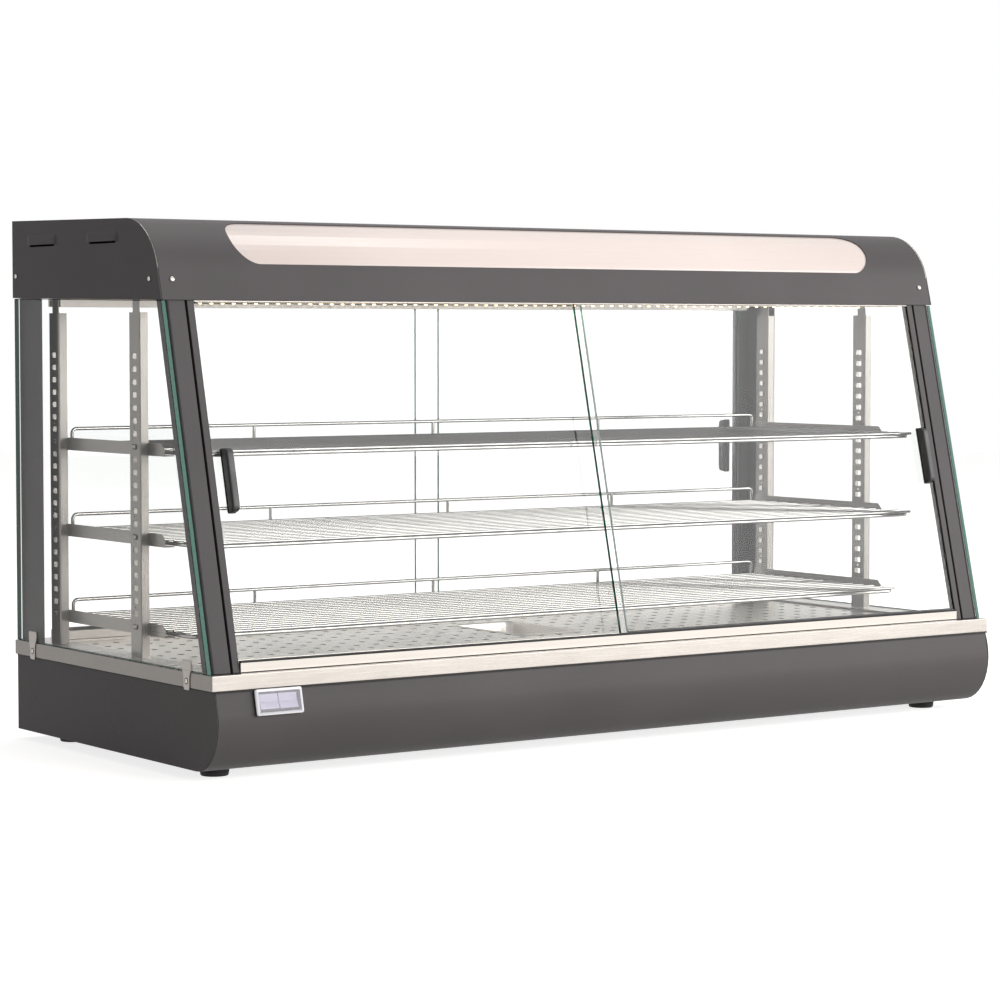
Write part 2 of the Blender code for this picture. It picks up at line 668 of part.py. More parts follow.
def build_heater(steel, ceramic, dark):
    """Heating rod, thermostat and terminal block inside the base."""
    path = heater_path()
    rings = []
    for step, (x, y) in enumerate(path):
        before = path[max(0, step - 1)]
        after = path[min(len(path) - 1, step + 1)]
        run_x = after[0] - before[0]
        run_y = after[1] - before[1]
        length = math.hypot(run_x, run_y)
        side_x = -run_y / length
        side_y = run_x / length
        rings.append([(x + side_x * a, y + side_y * a, HEATER_Z + b) for a, b in circle(HEATER_RADIUS, 8)])
    rod = prism("heating_element", rings, steel)
    floor = BASE_BOTTOM_Z + SHEET + FIT_GAP
    legs = []
    for x in (-HEATER_LEG_X, HEATER_LEG_X):
        for y in (-HEATER_HALF_Y, HEATER_HALF_Y):
            legs.append(((x - HEATER_LEG_WIDTH / 2, y - HEATER_LEG_SHEET / 2, floor),
                         (x + HEATER_LEG_WIDTH / 2, y + HEATER_LEG_SHEET / 2, HEATER_Z)))
    combine(rod, boxes("heater_legs", legs, steel), "UNION")
    smooth(rod)

    centre = (THERMOSTAT_X, THERMOSTAT_Y)
    smooth(prism("thermostat", along_z(circle(THERMOSTAT_RADIUS, 24, centre), floor,
                                       floor + THERMOSTAT_HEIGHT), dark))
    low = (TERMINAL_X - TERMINAL_LENGTH_X / 2, TERMINAL_Y - TERMINAL_LENGTH_Y / 2, floor)
    high = (TERMINAL_X + TERMINAL_LENGTH_X / 2, TERMINAL_Y + TERMINAL_LENGTH_Y / 2,
            floor + TERMINAL_HEIGHT)
    block = box("terminal_block", low, high, ceramic)
    pitch = TERMINAL_LENGTH_Y / TERMINAL_SLOTS
    cuts = []
    for slot in range(TERMINAL_SLOTS):
        y = low[1] + pitch * (slot + SLOT_MIDDLE_SHARE)
        cuts.append(((low[0] - CUT_OVERRUN, y - TERMINAL_SLOT / 2, high[2] - TERMINAL_SLOT),
                     (high[0] + CUT_OVERRUN, y + TERMINAL_SLOT / 2, high[2] + CUT_OVERRUN)))
    combine(block, boxes("terminal_slots", cuts, ceramic), "DIFFERENCE")


def cover_front_y():
    """World Y of the foremost point of the switch cover."""
    reach = SWITCH_SEAT + SWITCH_FLANGE + FIT_GAP + COVER_REACH
    low = SWITCH_HALF_Z - COVER_BEVEL
    return SWITCH_Y - reach * math.cos(SWITCH_LEAN) - low * math.sin(SWITCH_LEAN)


def build_gland(dark):
    """Cable gland through the rear wall, with an open bore."""
    wall = BASE_REAR_Y - SHEET - FIT_GAP
    end = -cover_front_y()
    centre = (GLAND_X, GLAND_Z)
    stations = [
        (GLAND_BORE_RADIUS, wall - GLAND_INSIDE),
        (GLAND_NECK_RADIUS, wall - GLAND_INSIDE),
        (GLAND_NECK_RADIUS, BASE_REAR_Y + FIT_GAP),
        (GLAND_HEAD_RADIUS, BASE_REAR_Y + FIT_GAP),
        (GLAND_HEAD_RADIUS, BASE_REAR_Y + SHEET * 2),
        (GLAND_NECK_RADIUS, end),
        (GLAND_BORE_RADIUS, end),
    ]
    points = []
    faces = []
    for radius, y in stations:
        points += [(x, y, z) for x, z in circle(radius, 20, centre)]
    count = len(stations)
    for row in range(count):
        after = (row + 1) % count
        for side in range(20):
            turned = (side + 1) % 20
            faces.append((row * 20 + side, row * 20 + turned, after * 20 + turned, after * 20 + side))
    return smooth(solid("cable_gland", points, faces, dark))


def build_feet(rubber):
    """Four tapered feet."""
    spots = {
        "foot_front_left": (-FOOT_X, FOOT_FRONT_Y),
        "foot_front_right": (FOOT_X, FOOT_FRONT_Y),
        "foot_rear_left": (-FOOT_X, FOOT_REAR_Y),
        "foot_rear_right": (FOOT_X, FOOT_REAR_Y),
    }
    top = BASE_BOTTOM_Z - FIT_GAP
    for name, (x, y) in spots.items():
        sole = [(px, py, 0.0) for px, py in circle(FOOT_SOLE_RADIUS, FOOT_SIDES)]
        head = [(px, py, top) for px, py in circle(FOOT_TOP_RADIUS, FOOT_SIDES)]
        smooth(prism(name, [sole, head], rubber, origin=(x, y, 0.0)))


# Switch pack

def switch_place():
    """Where the switch pack sits and how it leans."""
    return {"origin": (SWITCH_X, SWITCH_Y, SWITCH_Z), "turn": (-SWITCH_LEAN, 0.0, 0.0)}


def cover_rings(inset, near, far):
    """Rings of the cover's outside or inside, bevelled towards the front."""
    rings = []
    for more, y in ((0.0, near), (0.0, far + COVER_BEVEL), (COVER_BEVEL, far)):
        half_x = SWITCH_HALF_X - inset - more
        half_z = SWITCH_HALF_Z - inset - more
        rings.append([(x, y, z) for x, z in rectangle((-half_x, -half_z), (half_x, half_z))])
    return rings


def build_switch(dark, clear, white):
    """Housing with an open well, two rockers and a clear splash cover."""
    seat = -SWITCH_SEAT
    face = seat - SWITCH_FLANGE
    flange = box("switch_housing", (-SWITCH_HALF_X, face, -SWITCH_HALF_Z),
                 (SWITCH_HALF_X, seat, SWITCH_HALF_Z), dark, **switch_place())
    body = box("switch_body", (-SWITCH_BODY_HALF_X, seat - SWITCH_FLANGE / 2, -SWITCH_BODY_HALF_Z),
               (SWITCH_BODY_HALF_X, SWITCH_BODY_DEPTH, SWITCH_BODY_HALF_Z), dark, **switch_place())
    combine(flange, body, "UNION")
    well = box("switch_well", (-SWITCH_WELL_HALF_X, face - CUT_OVERRUN, -SWITCH_WELL_HALF_Z),
               (SWITCH_WELL_HALF_X, SWITCH_WELL_DEPTH, SWITCH_WELL_HALF_Z), dark, **switch_place())
    combine(flange, well, "DIFFERENCE")

    near = face - FIT_GAP
    far = near - COVER_REACH
    cover = prism("switch_cover", cover_rings(0.0, near, far), clear, **switch_place())
    room = prism("cover_room", cover_rings(COVER_WALL * 2, near + CUT_OVERRUN, far + COVER_WALL),
                 clear, **switch_place())
    combine(cover, room, "DIFFERENCE")

    profile = [
        (-ROCKER_FRONT, ROCKER_HALF_Z),
        (ROCKER_DISH - ROCKER_FRONT, 0.0),
        (-ROCKER_FRONT, -ROCKER_HALF_Z),
        (0.0, -ROCKER_HALF_Z),
        (ROCKER_BACK, -ROCKER_BACK_HALF_Z),
        (ROCKER_BACK, ROCKER_BACK_HALF_Z),
        (0.0, ROCKER_HALF_Z),
    ]
    inner_end = ROCKER_PLAY / 2
    outer_end = SWITCH_WELL_HALF_X - ROCKER_PLAY
    spans = {"rocker_heat": (-outer_end, -inner_end), "rocker_light": (inner_end, outer_end)}
    pivot_y = SWITCH_Y + ROCKER_PIVOT * math.cos(SWITCH_LEAN)
    pivot_z = SWITCH_Z - ROCKER_PIVOT * math.sin(SWITCH_LEAN)
    for name, (low, high) in spans.items():
        prism(name, along_x(profile, low, high), white, origin=(SWITCH_X, pivot_y, pivot_z),
              turn=(-SWITCH_LEAN - ROCKER_TILT, 0.0, 0.0))


# Posts, side glass and tracks

def front_post_outline(word):
    """Section of a front post and its door channels, as (x, depth). The inner door closes into the left
    post only, so the right post has just the outer channel, with a lip behind it."""
    outer = OUTER_DEPTH - PANE_PLAY
    outer_back = OUTER_DEPTH + PANE + PANE_PLAY
    inner = INNER_DEPTH - PANE_PLAY
    inner_back = INNER_DEPTH + PANE + PANE_PLAY
    inner_channel = [
        (JAMB_INNER_X, inner),
        (JAMB_CHANNEL_X, inner),
        (JAMB_CHANNEL_X, inner_back),
        (JAMB_INNER_X, inner_back),
    ]
    jamb_depth = JAMB_DEPTH if word == "left" else outer_back + JAMB_LIP
    return [
        (POST_OUTER_X, 0.0),
        (POST_FACE_INNER_X, 0.0),
        (POST_FACE_INNER_X, POST_GROOVE_DEPTH),
        (POST_GROOVE_INNER_X, POST_GROOVE_DEPTH),
        (POST_GROOVE_INNER_X, JAMB_SETBACK),
        (JAMB_INNER_X, JAMB_SETBACK),
        (JAMB_INNER_X, outer),
        (JAMB_CHANNEL_X, outer),
        (JAMB_CHANNEL_X, outer_back),
        (JAMB_INNER_X, outer_back),
        *(inner_channel if word == "left" else []),
        (JAMB_INNER_X, jamb_depth),
        (POST_FACE_INNER_X, jamb_depth),
        (POST_FACE_INNER_X, POST_FACE_DEPTH),
        (POST_OUTER_X, POST_FACE_DEPTH),
    ]


def rear_post_outline():
    """Section of a rear post, an angle of sheet that the rear doors close in front of, as (x, y)."""
    return [
        (POST_OUTER_X, REAR_POST_FRONT_Y),
        (POST_OUTER_X, REAR_POST_REAR_Y),
        (REAR_POST_INNER_X, REAR_POST_REAR_Y),
        (REAR_POST_INNER_X, REAR_POST_REAR_Y - REAR_POST_SHEET),
        (POST_OUTER_X - REAR_POST_SHEET, REAR_POST_REAR_Y - REAR_POST_SHEET),
        (POST_OUTER_X - REAR_POST_SHEET, REAR_POST_FRONT_Y),
    ]


def build_posts(painted):
    """Two leaning front posts and two upright rear posts."""
    bottom = RIM_TOP_Z + FIT_GAP
    for word, side in (("left", -1), ("right", 1)):
        outline = sided(side, front_post_outline(word))
        rings = [[(x, lean_y(depth, z), z) for x, depth in outline] for z in (bottom, POST_TOP_Z)]
        prism("front_post_" + word, rings, painted)
        outline = sided(side, rear_post_outline())
        prism("rear_post_" + word, along_z(outline, bottom, POST_TOP_Z), painted)


def build_side_glass(glass, steel):
    """Fixed side panes and the clips that hold them to the rim."""
    bottom = RIM_TOP_Z + FIT_GAP
    outline = [
        (lean_y(0.0, bottom), bottom),
        (SIDE_GLASS_REAR_Y, bottom),
        (SIDE_GLASS_REAR_Y, SIDE_GLASS_TOP_REAR_Z),
        (lean_y(0.0, SIDE_GLASS_TOP_FRONT_Z), SIDE_GLASS_TOP_FRONT_Z),
    ]
    inner = SIDE_GLASS_OUTER_X - SIDE_GLASS_THICKNESS
    for word, side in (("left", -1), ("right", 1)):
        ends = sorted((side * inner, side * SIDE_GLASS_OUTER_X))
        prism("side_glass_" + word, along_x(outline, ends[0], ends[1]), glass)
        low = HALF_WIDTH + FIT_GAP
        high = low + CLIP_THICKNESS
        step = RIM_TOP_Z + FIT_GAP
        near = SIDE_GLASS_OUTER_X + FIT_GAP
        section = [
            (low, CLIP_BOTTOM_Z),
            (high, CLIP_BOTTOM_Z),
            (high, step + CLIP_THICKNESS),
            (near + CLIP_THICKNESS, step + CLIP_THICKNESS),
            (near + CLIP_THICKNESS, CLIP_TOP_Z),
            (near, CLIP_TOP_Z),
            (near, step),
            (low, step),
        ]
        for place, y in (("front", CLIP_FRONT_Y), ("rear", CLIP_REAR_Y)):
            prism("glass_clip_" + place + "_" + word,
                  along_y(sided(side, section), y - CLIP_LENGTH / 2, y + CLIP_LENGTH / 2), steel)


def build_tracks(steel, painted):
    """Lower and upper double tracks of the front and rear doors."""
    bottom = RIM_TOP_Z + FIT_GAP
    grooves = []
    for depth in (OUTER_DEPTH, INNER_DEPTH):
        near = depth - PANE_PLAY
        far = depth + PANE + PANE_PLAY
        grooves += [
            (lean_y(near, TRACK_TOP_Z), TRACK_TOP_Z),
            (lean_y(near, TRACK_GROOVE_Z), TRACK_GROOVE_Z),
            (lean_y(far, TRACK_GROOVE_Z), TRACK_GROOVE_Z),
            (lean_y(far, TRACK_TOP_Z), TRACK_TOP_Z),
        ]
    outline = [(FRONT_TRACK_Y, bottom), (FRONT_TRACK_Y, TRACK_TOP_Z)] + grooves
    outline += [(FRONT_TRACK_REAR_Y, TRACK_TOP_Z), (FRONT_TRACK_REAR_Y, bottom)]
    prism("front_track", along_x(outline, -TRACK_HALF_X, TRACK_HALF_X), steel)

    roof = FRONT_PANE_TOP_Z + FIT_GAP * 2
    grooves = []
    for depth in (OUTER_DEPTH, INNER_DEPTH):
        near = depth - PANE_PLAY
        far = depth + PANE + PANE_PLAY
        grooves += [
            (lean_y(near, FRONT_HEAD_BOTTOM_Z), FRONT_HEAD_BOTTOM_Z),
            (lean_y(near, roof), roof),
            (lean_y(far, roof), roof),
            (lean_y(far, FRONT_HEAD_BOTTOM_Z), FRONT_HEAD_BOTTOM_Z),
        ]
    near = FRONT_HEAD_NEAR_DEPTH
    far = FRONT_HEAD_FAR_DEPTH
    outline = [(lean_y(near, POST_TOP_Z), POST_TOP_Z),
               (lean_y(near, FRONT_HEAD_BOTTOM_Z), FRONT_HEAD_BOTTOM_Z)]
    outline += grooves
    outline += [(lean_y(far, FRONT_HEAD_BOTTOM_Z), FRONT_HEAD_BOTTOM_Z),
                (lean_y(far, POST_TOP_Z), POST_TOP_Z)]
    prism("front_head_track", along_x(outline, -TRACK_HALF_X, TRACK_HALF_X), steel)

    for name, low, high, mouth, root in (
        ("rear_track", bottom, TRACK_TOP_Z, TRACK_TOP_Z, TRACK_GROOVE_Z),
        ("rear_head_track", POST_TOP_Z, REAR_HEAD_BOTTOM_Z, REAR_HEAD_BOTTOM_Z,
         REAR_PANE_TOP_Z + FIT_GAP * 2),
    ):
        outline = [(REAR_TRACK_Y, low), (REAR_TRACK_Y, high)]
        for y in (REAR_INNER_Y, REAR_OUTER_Y):
            outline += [(y - PANE_PLAY, mouth), (y - PANE_PLAY, root),
                        (y + PANE + PANE_PLAY, root), (y + PANE + PANE_PLAY, mouth)]
        outline += [(REAR_TRACK_REAR_Y, high), (REAR_TRACK_REAR_Y, low)]
        prism(name, along_x(outline, -TRACK_HALF_X, TRACK_HALF_X), painted)


# Doors

def leaning_prism(name, outline, low, high, look):
    """A prism whose (x, depth) outline follows the leaning plane between two heights."""
    rings = [[(x, lean_y(depth, z), z) for x, depth in outline] for z in (low, high)]
    return prism(name, rings, look)


def build_doors(glass, dark):
    """Four sliding panes and the pull on each."""
    outer = (OUTER_DEPTH, OUTER_DEPTH + PANE)
    inner = (INNER_DEPTH, INNER_DEPTH + PANE)
    leaning_prism("front_pane_left", rectangle((-PANE_END_X, inner[0]), (FRONT_LEFT_PANE_EDGE_X, inner[1])),
                  PANE_BOTTOM_Z, FRONT_PANE_TOP_Z, glass)
    leaning_prism("front_pane_right", rectangle((FRONT_RIGHT_PANE_EDGE_X, outer[0]), (PANE_END_X, outer[1])),
                  PANE_BOTTOM_Z, FRONT_PANE_TOP_Z, glass)
    box("rear_pane_left", (-PANE_END_X, REAR_INNER_Y, PANE_BOTTOM_Z),
        (REAR_LEFT_PANE_EDGE_X, REAR_INNER_Y + PANE, REAR_PANE_TOP_Z), glass)
    box("rear_pane_right", (REAR_RIGHT_PANE_EDGE_X, REAR_OUTER_Y, PANE_BOTTOM_Z),
        (PANE_END_X, REAR_OUTER_Y + PANE, REAR_PANE_TOP_Z), glass)

    for name, x, depth in (("front_pull_left", FRONT_LEFT_PULL_X, INNER_DEPTH),
                           ("front_pull_right", FRONT_RIGHT_PULL_X, OUTER_DEPTH)):
        root = depth - FIT_GAP
        pull = leaning_prism(name, rectangle((x, root - PULL_REACH), (x + PULL_WIDTH, root)),
                             PULL_BOTTOM_Z, PULL_TOP_Z, dark)
        smooth(bevel(pull, PULL_BEVEL))
    for name, x, y in (("rear_pull_left", REAR_LEFT_PULL_X, REAR_INNER_Y),
                       ("rear_pull_right", REAR_RIGHT_PULL_X, REAR_OUTER_Y)):
        root = y + PANE + FIT_GAP
        pull = box(name, (x, root, PULL_BOTTOM_Z), (x + PULL_WIDTH, root + PULL_REACH, PULL_TOP_Z), dark)
        smooth(bevel(pull, PULL_BEVEL))


# Canopy

def window_outline():
    """Rounded outline of the sign window, as (x, span) measured from the bend's centre."""
    half = (WINDOW_ABOVE + WINDOW_BELOW) / 2
    radius = min(WINDOW_RADIUS, half)
    corners = [
        (WINDOW_RIGHT_X - radius, WINDOW_ABOVE - radius, 0),
        (WINDOW_LEFT_X + radius, WINDOW_ABOVE - radius, 1),
        (WINDOW_LEFT_X + radius, radius - WINDOW_BELOW, 2),
        (WINDOW_RIGHT_X - radius, radius - WINDOW_BELOW, 3),
    ]
    outline = []
    for x, span, quarter in corners:
        for step in range(WINDOW_CORNER_STEPS + 1):
            turn = math.pi / 2 * (quarter + step / WINDOW_CORNER_STEPS)
            outline.append((x + radius * math.cos(turn), span + radius * math.sin(turn)))
    return outline


def window_cutter(look):
    """Prism through the bend, square to the middle of the window."""
    along_y_share = math.sin(WINDOW_LEAN)
    along_z_share = math.cos(WINDOW_LEAN)
    rings = []
    for reach in (WINDOW_CUT_START, WINDOW_CUT_END):
        ring = []
        for x, span in window_outline():
            y = BEND_CENTRE_Y + span * along_y_share - reach * along_z_share
            z = BEND_CENTRE_Z + span * along_z_share + reach * along_y_share
            ring.append((x, y, z))
        rings.append(ring)
    return prism("window_cut", rings, look)


def build_canopy(painted, white):
    """Bent shell with the sign window, end plates with vents, and the lit diffuser."""
    half = HALF_WIDTH - SHEET - FIT_GAP
    outline = canopy_line(0.0) + canopy_line(CANOPY_SHEET)[::-1]
    shell = prism("canopy_shell", along_x(outline, -half, half), painted)
    combine(shell, window_cutter(painted), "DIFFERENCE")
    smooth(shell)

    for word, side in (("left", -1), ("right", 1)):
        ends = sorted((side * (HALF_WIDTH - SHEET), side * HALF_WIDTH))
        panel = prism("canopy_end_" + word, along_x(canopy_line(0.0), ends[0], ends[1]), painted)
        cuts = []
        for y in (VENT_REAR_Y, VENT_FRONT_Y):
            cuts.append(((ends[0] - CUT_OVERRUN, y - VENT_LENGTH / 2, VENT_Z),
                         (ends[1] + CUT_OVERRUN, y + VENT_LENGTH / 2, VENT_Z + VENT_HEIGHT)))
        combine(panel, boxes("vent_cuts_" + word, cuts, painted), "DIFFERENCE")

    rows = []
    for inset in (CANOPY_SHEET + FIT_GAP, CANOPY_SHEET + FIT_GAP + DIFFUSER_SHEET):
        radius = BEND_RADIUS - inset
        row = []
        for step in range(BEND_STEPS + 1):
            turn = DIFFUSER_START + (DIFFUSER_END - DIFFUSER_START) * step / BEND_STEPS
            row.append((BEND_CENTRE_Y - radius * math.sin(turn), BEND_CENTRE_Z + radius * math.cos(turn)))
        rows.append(row)
    smooth(prism("sign_diffuser", along_x(rows[0] + rows[1][::-1], WINDOW_LEFT_X - DIFFUSER_MARGIN_X,
                                          WINDOW_RIGHT_X + DIFFUSER_MARGIN_X), white))


def build_ceiling(steel, white, dark):
    """Ceiling sheet, the strip of lamps under the front head track and the lamp driver."""
    box("ceiling_panel", (-CEILING_HALF_X, CEILING_FRONT_Y, CEILING_Z),
        (CEILING_HALF_X, CEILING_REAR_Y, CEILING_Z + CEILING_SHEET), steel)
    top = FRONT_HEAD_BOTTOM_Z - FIT_GAP
    outline = [(lean_y(LAMP_NEAR_DEPTH, top), top), (lean_y(LAMP_FAR_DEPTH, top), top),
               (lean_y(LAMP_FAR_DEPTH, top), top - LAMP_BOTTOM_Z),
               (lean_y(LAMP_NEAR_DEPTH, top), top - LAMP_BOTTOM_Z)]
    prism("lamp_strip", along_x(outline, -LAMP_HALF_X, LAMP_HALF_X), white)
    bottom = CEILING_Z + CEILING_SHEET + FIT_GAP
    half_x = DRIVER_LENGTH_X / 2
    half_y = DRIVER_LENGTH_Y / 2
    section = [
        (-half_x - DRIVER_EAR, bottom),
        (half_x + DRIVER_EAR, bottom),
        (half_x + DRIVER_EAR, bottom + DRIVER_EAR_HEIGHT),
        (half_x, bottom + DRIVER_EAR_HEIGHT),
        (half_x, bottom + DRIVER_HEIGHT),
        (-half_x, bottom + DRIVER_HEIGHT),
        (-half_x, bottom + DRIVER_EAR_HEIGHT),
        (-half_x - DRIVER_EAR, bottom + DRIVER_EAR_HEIGHT),
    ]
    prism("lamp_driver", along_y(section, -half_y, half_y), dark, origin=(DRIVER_X, DRIVER_Y, 0.0))


# Uprights, brackets and shelves

def slot_z(row):
    """Height of the middle of a slot, counted from the top one."""
    return SLOT_TOP_Z - row * SLOT_PITCH


def build_uprights(steel):
    """Four slotted channels, all open towards the right, with a tongue into the ceiling."""
    bottom = RIM_TOP_Z + FIT_GAP
    section = [
        (UPRIGHT_WEB_X, -UPRIGHT_HALF_Y),
        (UPRIGHT_TIP_X, -UPRIGHT_HALF_Y),
        (UPRIGHT_TIP_X, -UPRIGHT_HALF_Y + UPRIGHT_SHEET),
        (UPRIGHT_WEB_X + UPRIGHT_SHEET, -UPRIGHT_HALF_Y + UPRIGHT_SHEET),
        (UPRIGHT_WEB_X + UPRIGHT_SHEET, UPRIGHT_HALF_Y - UPRIGHT_SHEET),
        (UPRIGHT_TIP_X, UPRIGHT_HALF_Y - UPRIGHT_SHEET),
        (UPRIGHT_TIP_X, UPRIGHT_HALF_Y),
        (UPRIGHT_WEB_X, UPRIGHT_HALF_Y),
    ]
    for word, shift in (("left", -UPRIGHT_WEB_X - UPRIGHT_TIP_X), ("right", 0.0)):
        for place, y in (("front", UPRIGHT_FRONT_Y), ("rear", UPRIGHT_REAR_Y)):
            ending = place + "_" + word
            outline = [(x + shift, other) for x, other in section]
            upright = prism("upright_" + ending, along_z(outline, bottom, UPRIGHT_TOP_Z), steel,
                            origin=(0.0, y, 0.0))
            near = UPRIGHT_WEB_X + shift
            far = near + UPRIGHT_SHEET
            tongue = box("tongue_" + ending, (near, -UPRIGHT_HALF_Y, UPRIGHT_TOP_Z - UPRIGHT_HALF_Y),
                         (far, UPRIGHT_HALF_Y - TONGUE_REAR_SETBACK, POST_TOP_Z), steel,
                         origin=(0.0, y, 0.0))
            combine(upright, tongue, "UNION")
            cuts = []
            for row in range(SLOT_COUNT):
                z = slot_z(row)
                cuts.append(((near - CUT_OVERRUN, -SLOT_LENGTH_Y / 2, z - SLOT_HEIGHT / 2),
                             (far + CUT_OVERRUN / 2, SLOT_LENGTH_Y / 2, z + SLOT_HEIGHT / 2)))
            combine(upright, boxes("slots_" + ending, cuts, steel, origin=(0.0, y, 0.0)), "DIFFERENCE")


def shelf_rows():
    """The three shelves: name, slot row that carries it, and its shift along X."""
    return [
        ("top", SLOTS_PER_SHELF, TOP_SHELF_SHIFT),
        ("middle", 2 * SLOTS_PER_SHELF, MIDDLE_SHELF_SHIFT),
        ("bottom", 3 * SLOTS_PER_SHELF, TOP_SHELF_SHIFT),
    ]


def shelf_front(name):
    """Front edge of a shelf. The bottom one is less deep than the others."""
    return SHELF_FRONT_Y + (BOTTOM_SHELF_SETBACK if name == "bottom" else 0.0)


def bracket_bottom(row):
    """Height of the underside of the bracket that hooks into a slot row."""
    return slot_z(row) - BRACKET_BELOW_SLOT


def build_brackets(steel):
    """Six angle brackets, each with two hooks through the slots of its uprights. On the left the
    hooks first cross the open channel, because the slots are on its far side."""
    face = UPRIGHT_WEB_X - FIT_GAP
    for word, side, reach in (("left", -1, UPRIGHT_TIP_X - UPRIGHT_WEB_X + FAR_HOOK_REACH),
                              ("right", 1, HOOK_REACH)):
        for name, row, _shift in shelf_rows():
            low = bracket_bottom(row)
            high = low + BRACKET_HEIGHT
            tip = BRACKET_FRONT_Y + BRACKET_NOSE
            web = [
                (BRACKET_REAR_Y, low),
                (BRACKET_REAR_Y, high),
                (tip, high),
                (BRACKET_FRONT_Y, high - BRACKET_NOSE),
                (BRACKET_FRONT_Y, low),
            ]
            near, far = sorted((side * (face - BRACKET_SHEET), side * face))
            bracket = prism("bracket_" + name + "_" + word, along_x(web, near, far), steel)
            ends = sorted((side * (face - BRACKET_FLANGE), side * (face - BRACKET_SHEET / 2)))
            flange = box("flange_" + name + "_" + word, (ends[0], BRACKET_FRONT_Y, low),
                         (ends[1], BRACKET_REAR_Y, low + BRACKET_SHEET), steel)
            combine(bracket, flange, "UNION")
            z = slot_z(row)
            spans = sorted((side * (face - BRACKET_SHEET / 2), side * (face + reach)))
            hooks = []
            for y in (UPRIGHT_FRONT_Y, UPRIGHT_REAR_Y):
                hooks.append(((spans[0], y - HOOK_LENGTH_Y / 2, z - HOOK_HEIGHT / 2),
                              (spans[1], y + HOOK_LENGTH_Y / 2, z + HOOK_HEIGHT / 2)))
            combine(bracket, boxes("hooks_" + name + "_" + word, hooks, steel), "UNION")


def lattice(name, x_bars, y_bars, low, high, look, **place):
    """A flat grid: bars given as spans in X and in Y, solid where either kind lies."""
    xs = sorted({value for bar in x_bars for value in bar})
    ys = sorted({value for bar in y_bars for value in bar})
    filled = {}
    for column in range(len(xs) - 1):
        for row in range(len(ys) - 1):
            x = (xs[column] + xs[column + 1]) / 2
            y = (ys[row] + ys[row + 1]) / 2
            in_x = any(bar[0] < x < bar[1] for bar in x_bars)
            in_y = any(bar[0] < y < bar[1] for bar in y_bars)
            filled[(column, row)] = in_x or in_y
    points = []
    index = {}

    def point(column, row, level):
        """Number of the grid point, made when first asked for."""
        key = (column, row, level)
        if key not in index:
            index[key] = len(points)
            points.append((xs[column], ys[row], (low, high)[level]))
        return index[key]

    faces = []
    for (column, row), solid_cell in filled.items():
        if not solid_cell:
            continue
        for level in (0, 1):
            faces.append((point(column, row, level), point(column + 1, row, level),
                          point(column + 1, row + 1, level), point(column, row + 1, level)))
        edges = [((column - 1, row), (column, row), (column, row + 1)),
                 ((column + 1, row), (column + 1, row), (column + 1, row + 1)),
                 ((column, row - 1), (column, row), (column + 1, row)),
                 ((column, row + 1), (column, row + 1), (column + 1, row + 1))]
        for neighbour, first, second in edges:
            if not filled.get(neighbour, False):
                faces.append((point(*first, 0), point(*second, 0), point(*second, 1), point(*first, 1)))
    return solid(name, points, faces, look, **place)


def centred(middle, width):
    """A span of a width around its middle."""
    return (middle - width / 2, middle + width / 2)


def build_shelves(chrome):
    """Three wire shelves: frame with cross wires, deck wires on it and a rear guard rail."""
    for name, row, shift in shelf_rows():
        bottom = bracket_bottom(row) + BRACKET_SHEET + FIT_GAP
        frame_top = bottom + FRAME_WIRE
        edge = SHELF_HALF_X - FRAME_WIRE / 2
        front = shelf_front(name)
        rail_posts = [shift - RAIL_POST_X, shift, shift + RAIL_POST_X]
        x_bars = [centred(x, FRAME_WIRE) for x in [-edge] + rail_posts + [edge]]
        y_bars = [centred(front + FRAME_WIRE / 2, FRAME_WIRE),
                  centred(SHELF_REAR_Y - FRAME_WIRE / 2, FRAME_WIRE)]
        shelf = lattice("shelf_" + name, x_bars, y_bars, bottom, frame_top, chrome)

        deck_low = frame_top - WELD_DEPTH
        first = front + DECK_WIRE / 2
        last = SHELF_REAR_Y - FRAME_WIRE - DECK_WIRE
        wires = []
        for wire in range(DECK_WIRES):
            y = first + (last - first) * wire / (DECK_WIRES - 1)
            y += FIT_GAP
            wires.append(((-SHELF_HALF_X + FIT_GAP, y - DECK_WIRE / 2, deck_low),
                          (SHELF_HALF_X - FIT_GAP, y + DECK_WIRE / 2, deck_low + DECK_WIRE)))
        combine(shelf, boxes("deck_" + name, wires, chrome), "UNION")

        end = SHELF_HALF_X - RAIL_END_INSET - POST_WIRE / 2
        posts = [centred(x, POST_WIRE) for x in [-end] + rail_posts + [end]]
        outline = rail_outline(posts, frame_top - WELD_DEPTH, frame_top + RAIL_RISE)
        rail = prism("rail_" + name, along_y(outline, SHELF_REAR_Y - POST_WIRE, SHELF_REAR_Y - FIT_GAP),
                     chrome)
        combine(shelf, rail, "UNION")


def rail_outline(posts, low, top):
    """Outline of the guard rail as (x, z): a bar on top with a post under each span."""
    high = top - POST_WIRE
    outline = [(posts[0][0], top), (posts[0][0], low)]
    for span, after in zip(posts, posts[1:]):
        outline += [(span[1], low), (span[1], high), (after[0], high), (after[0], low)]
    outline += [(posts[-1][1], low), (posts[-1][1], top)]
    return outline


def clear_scene():
    """Remove every object that the file starts with."""
    for found in list(bpy.data.objects):
        bpy.data.objects.remove(found, do_unlink=True)


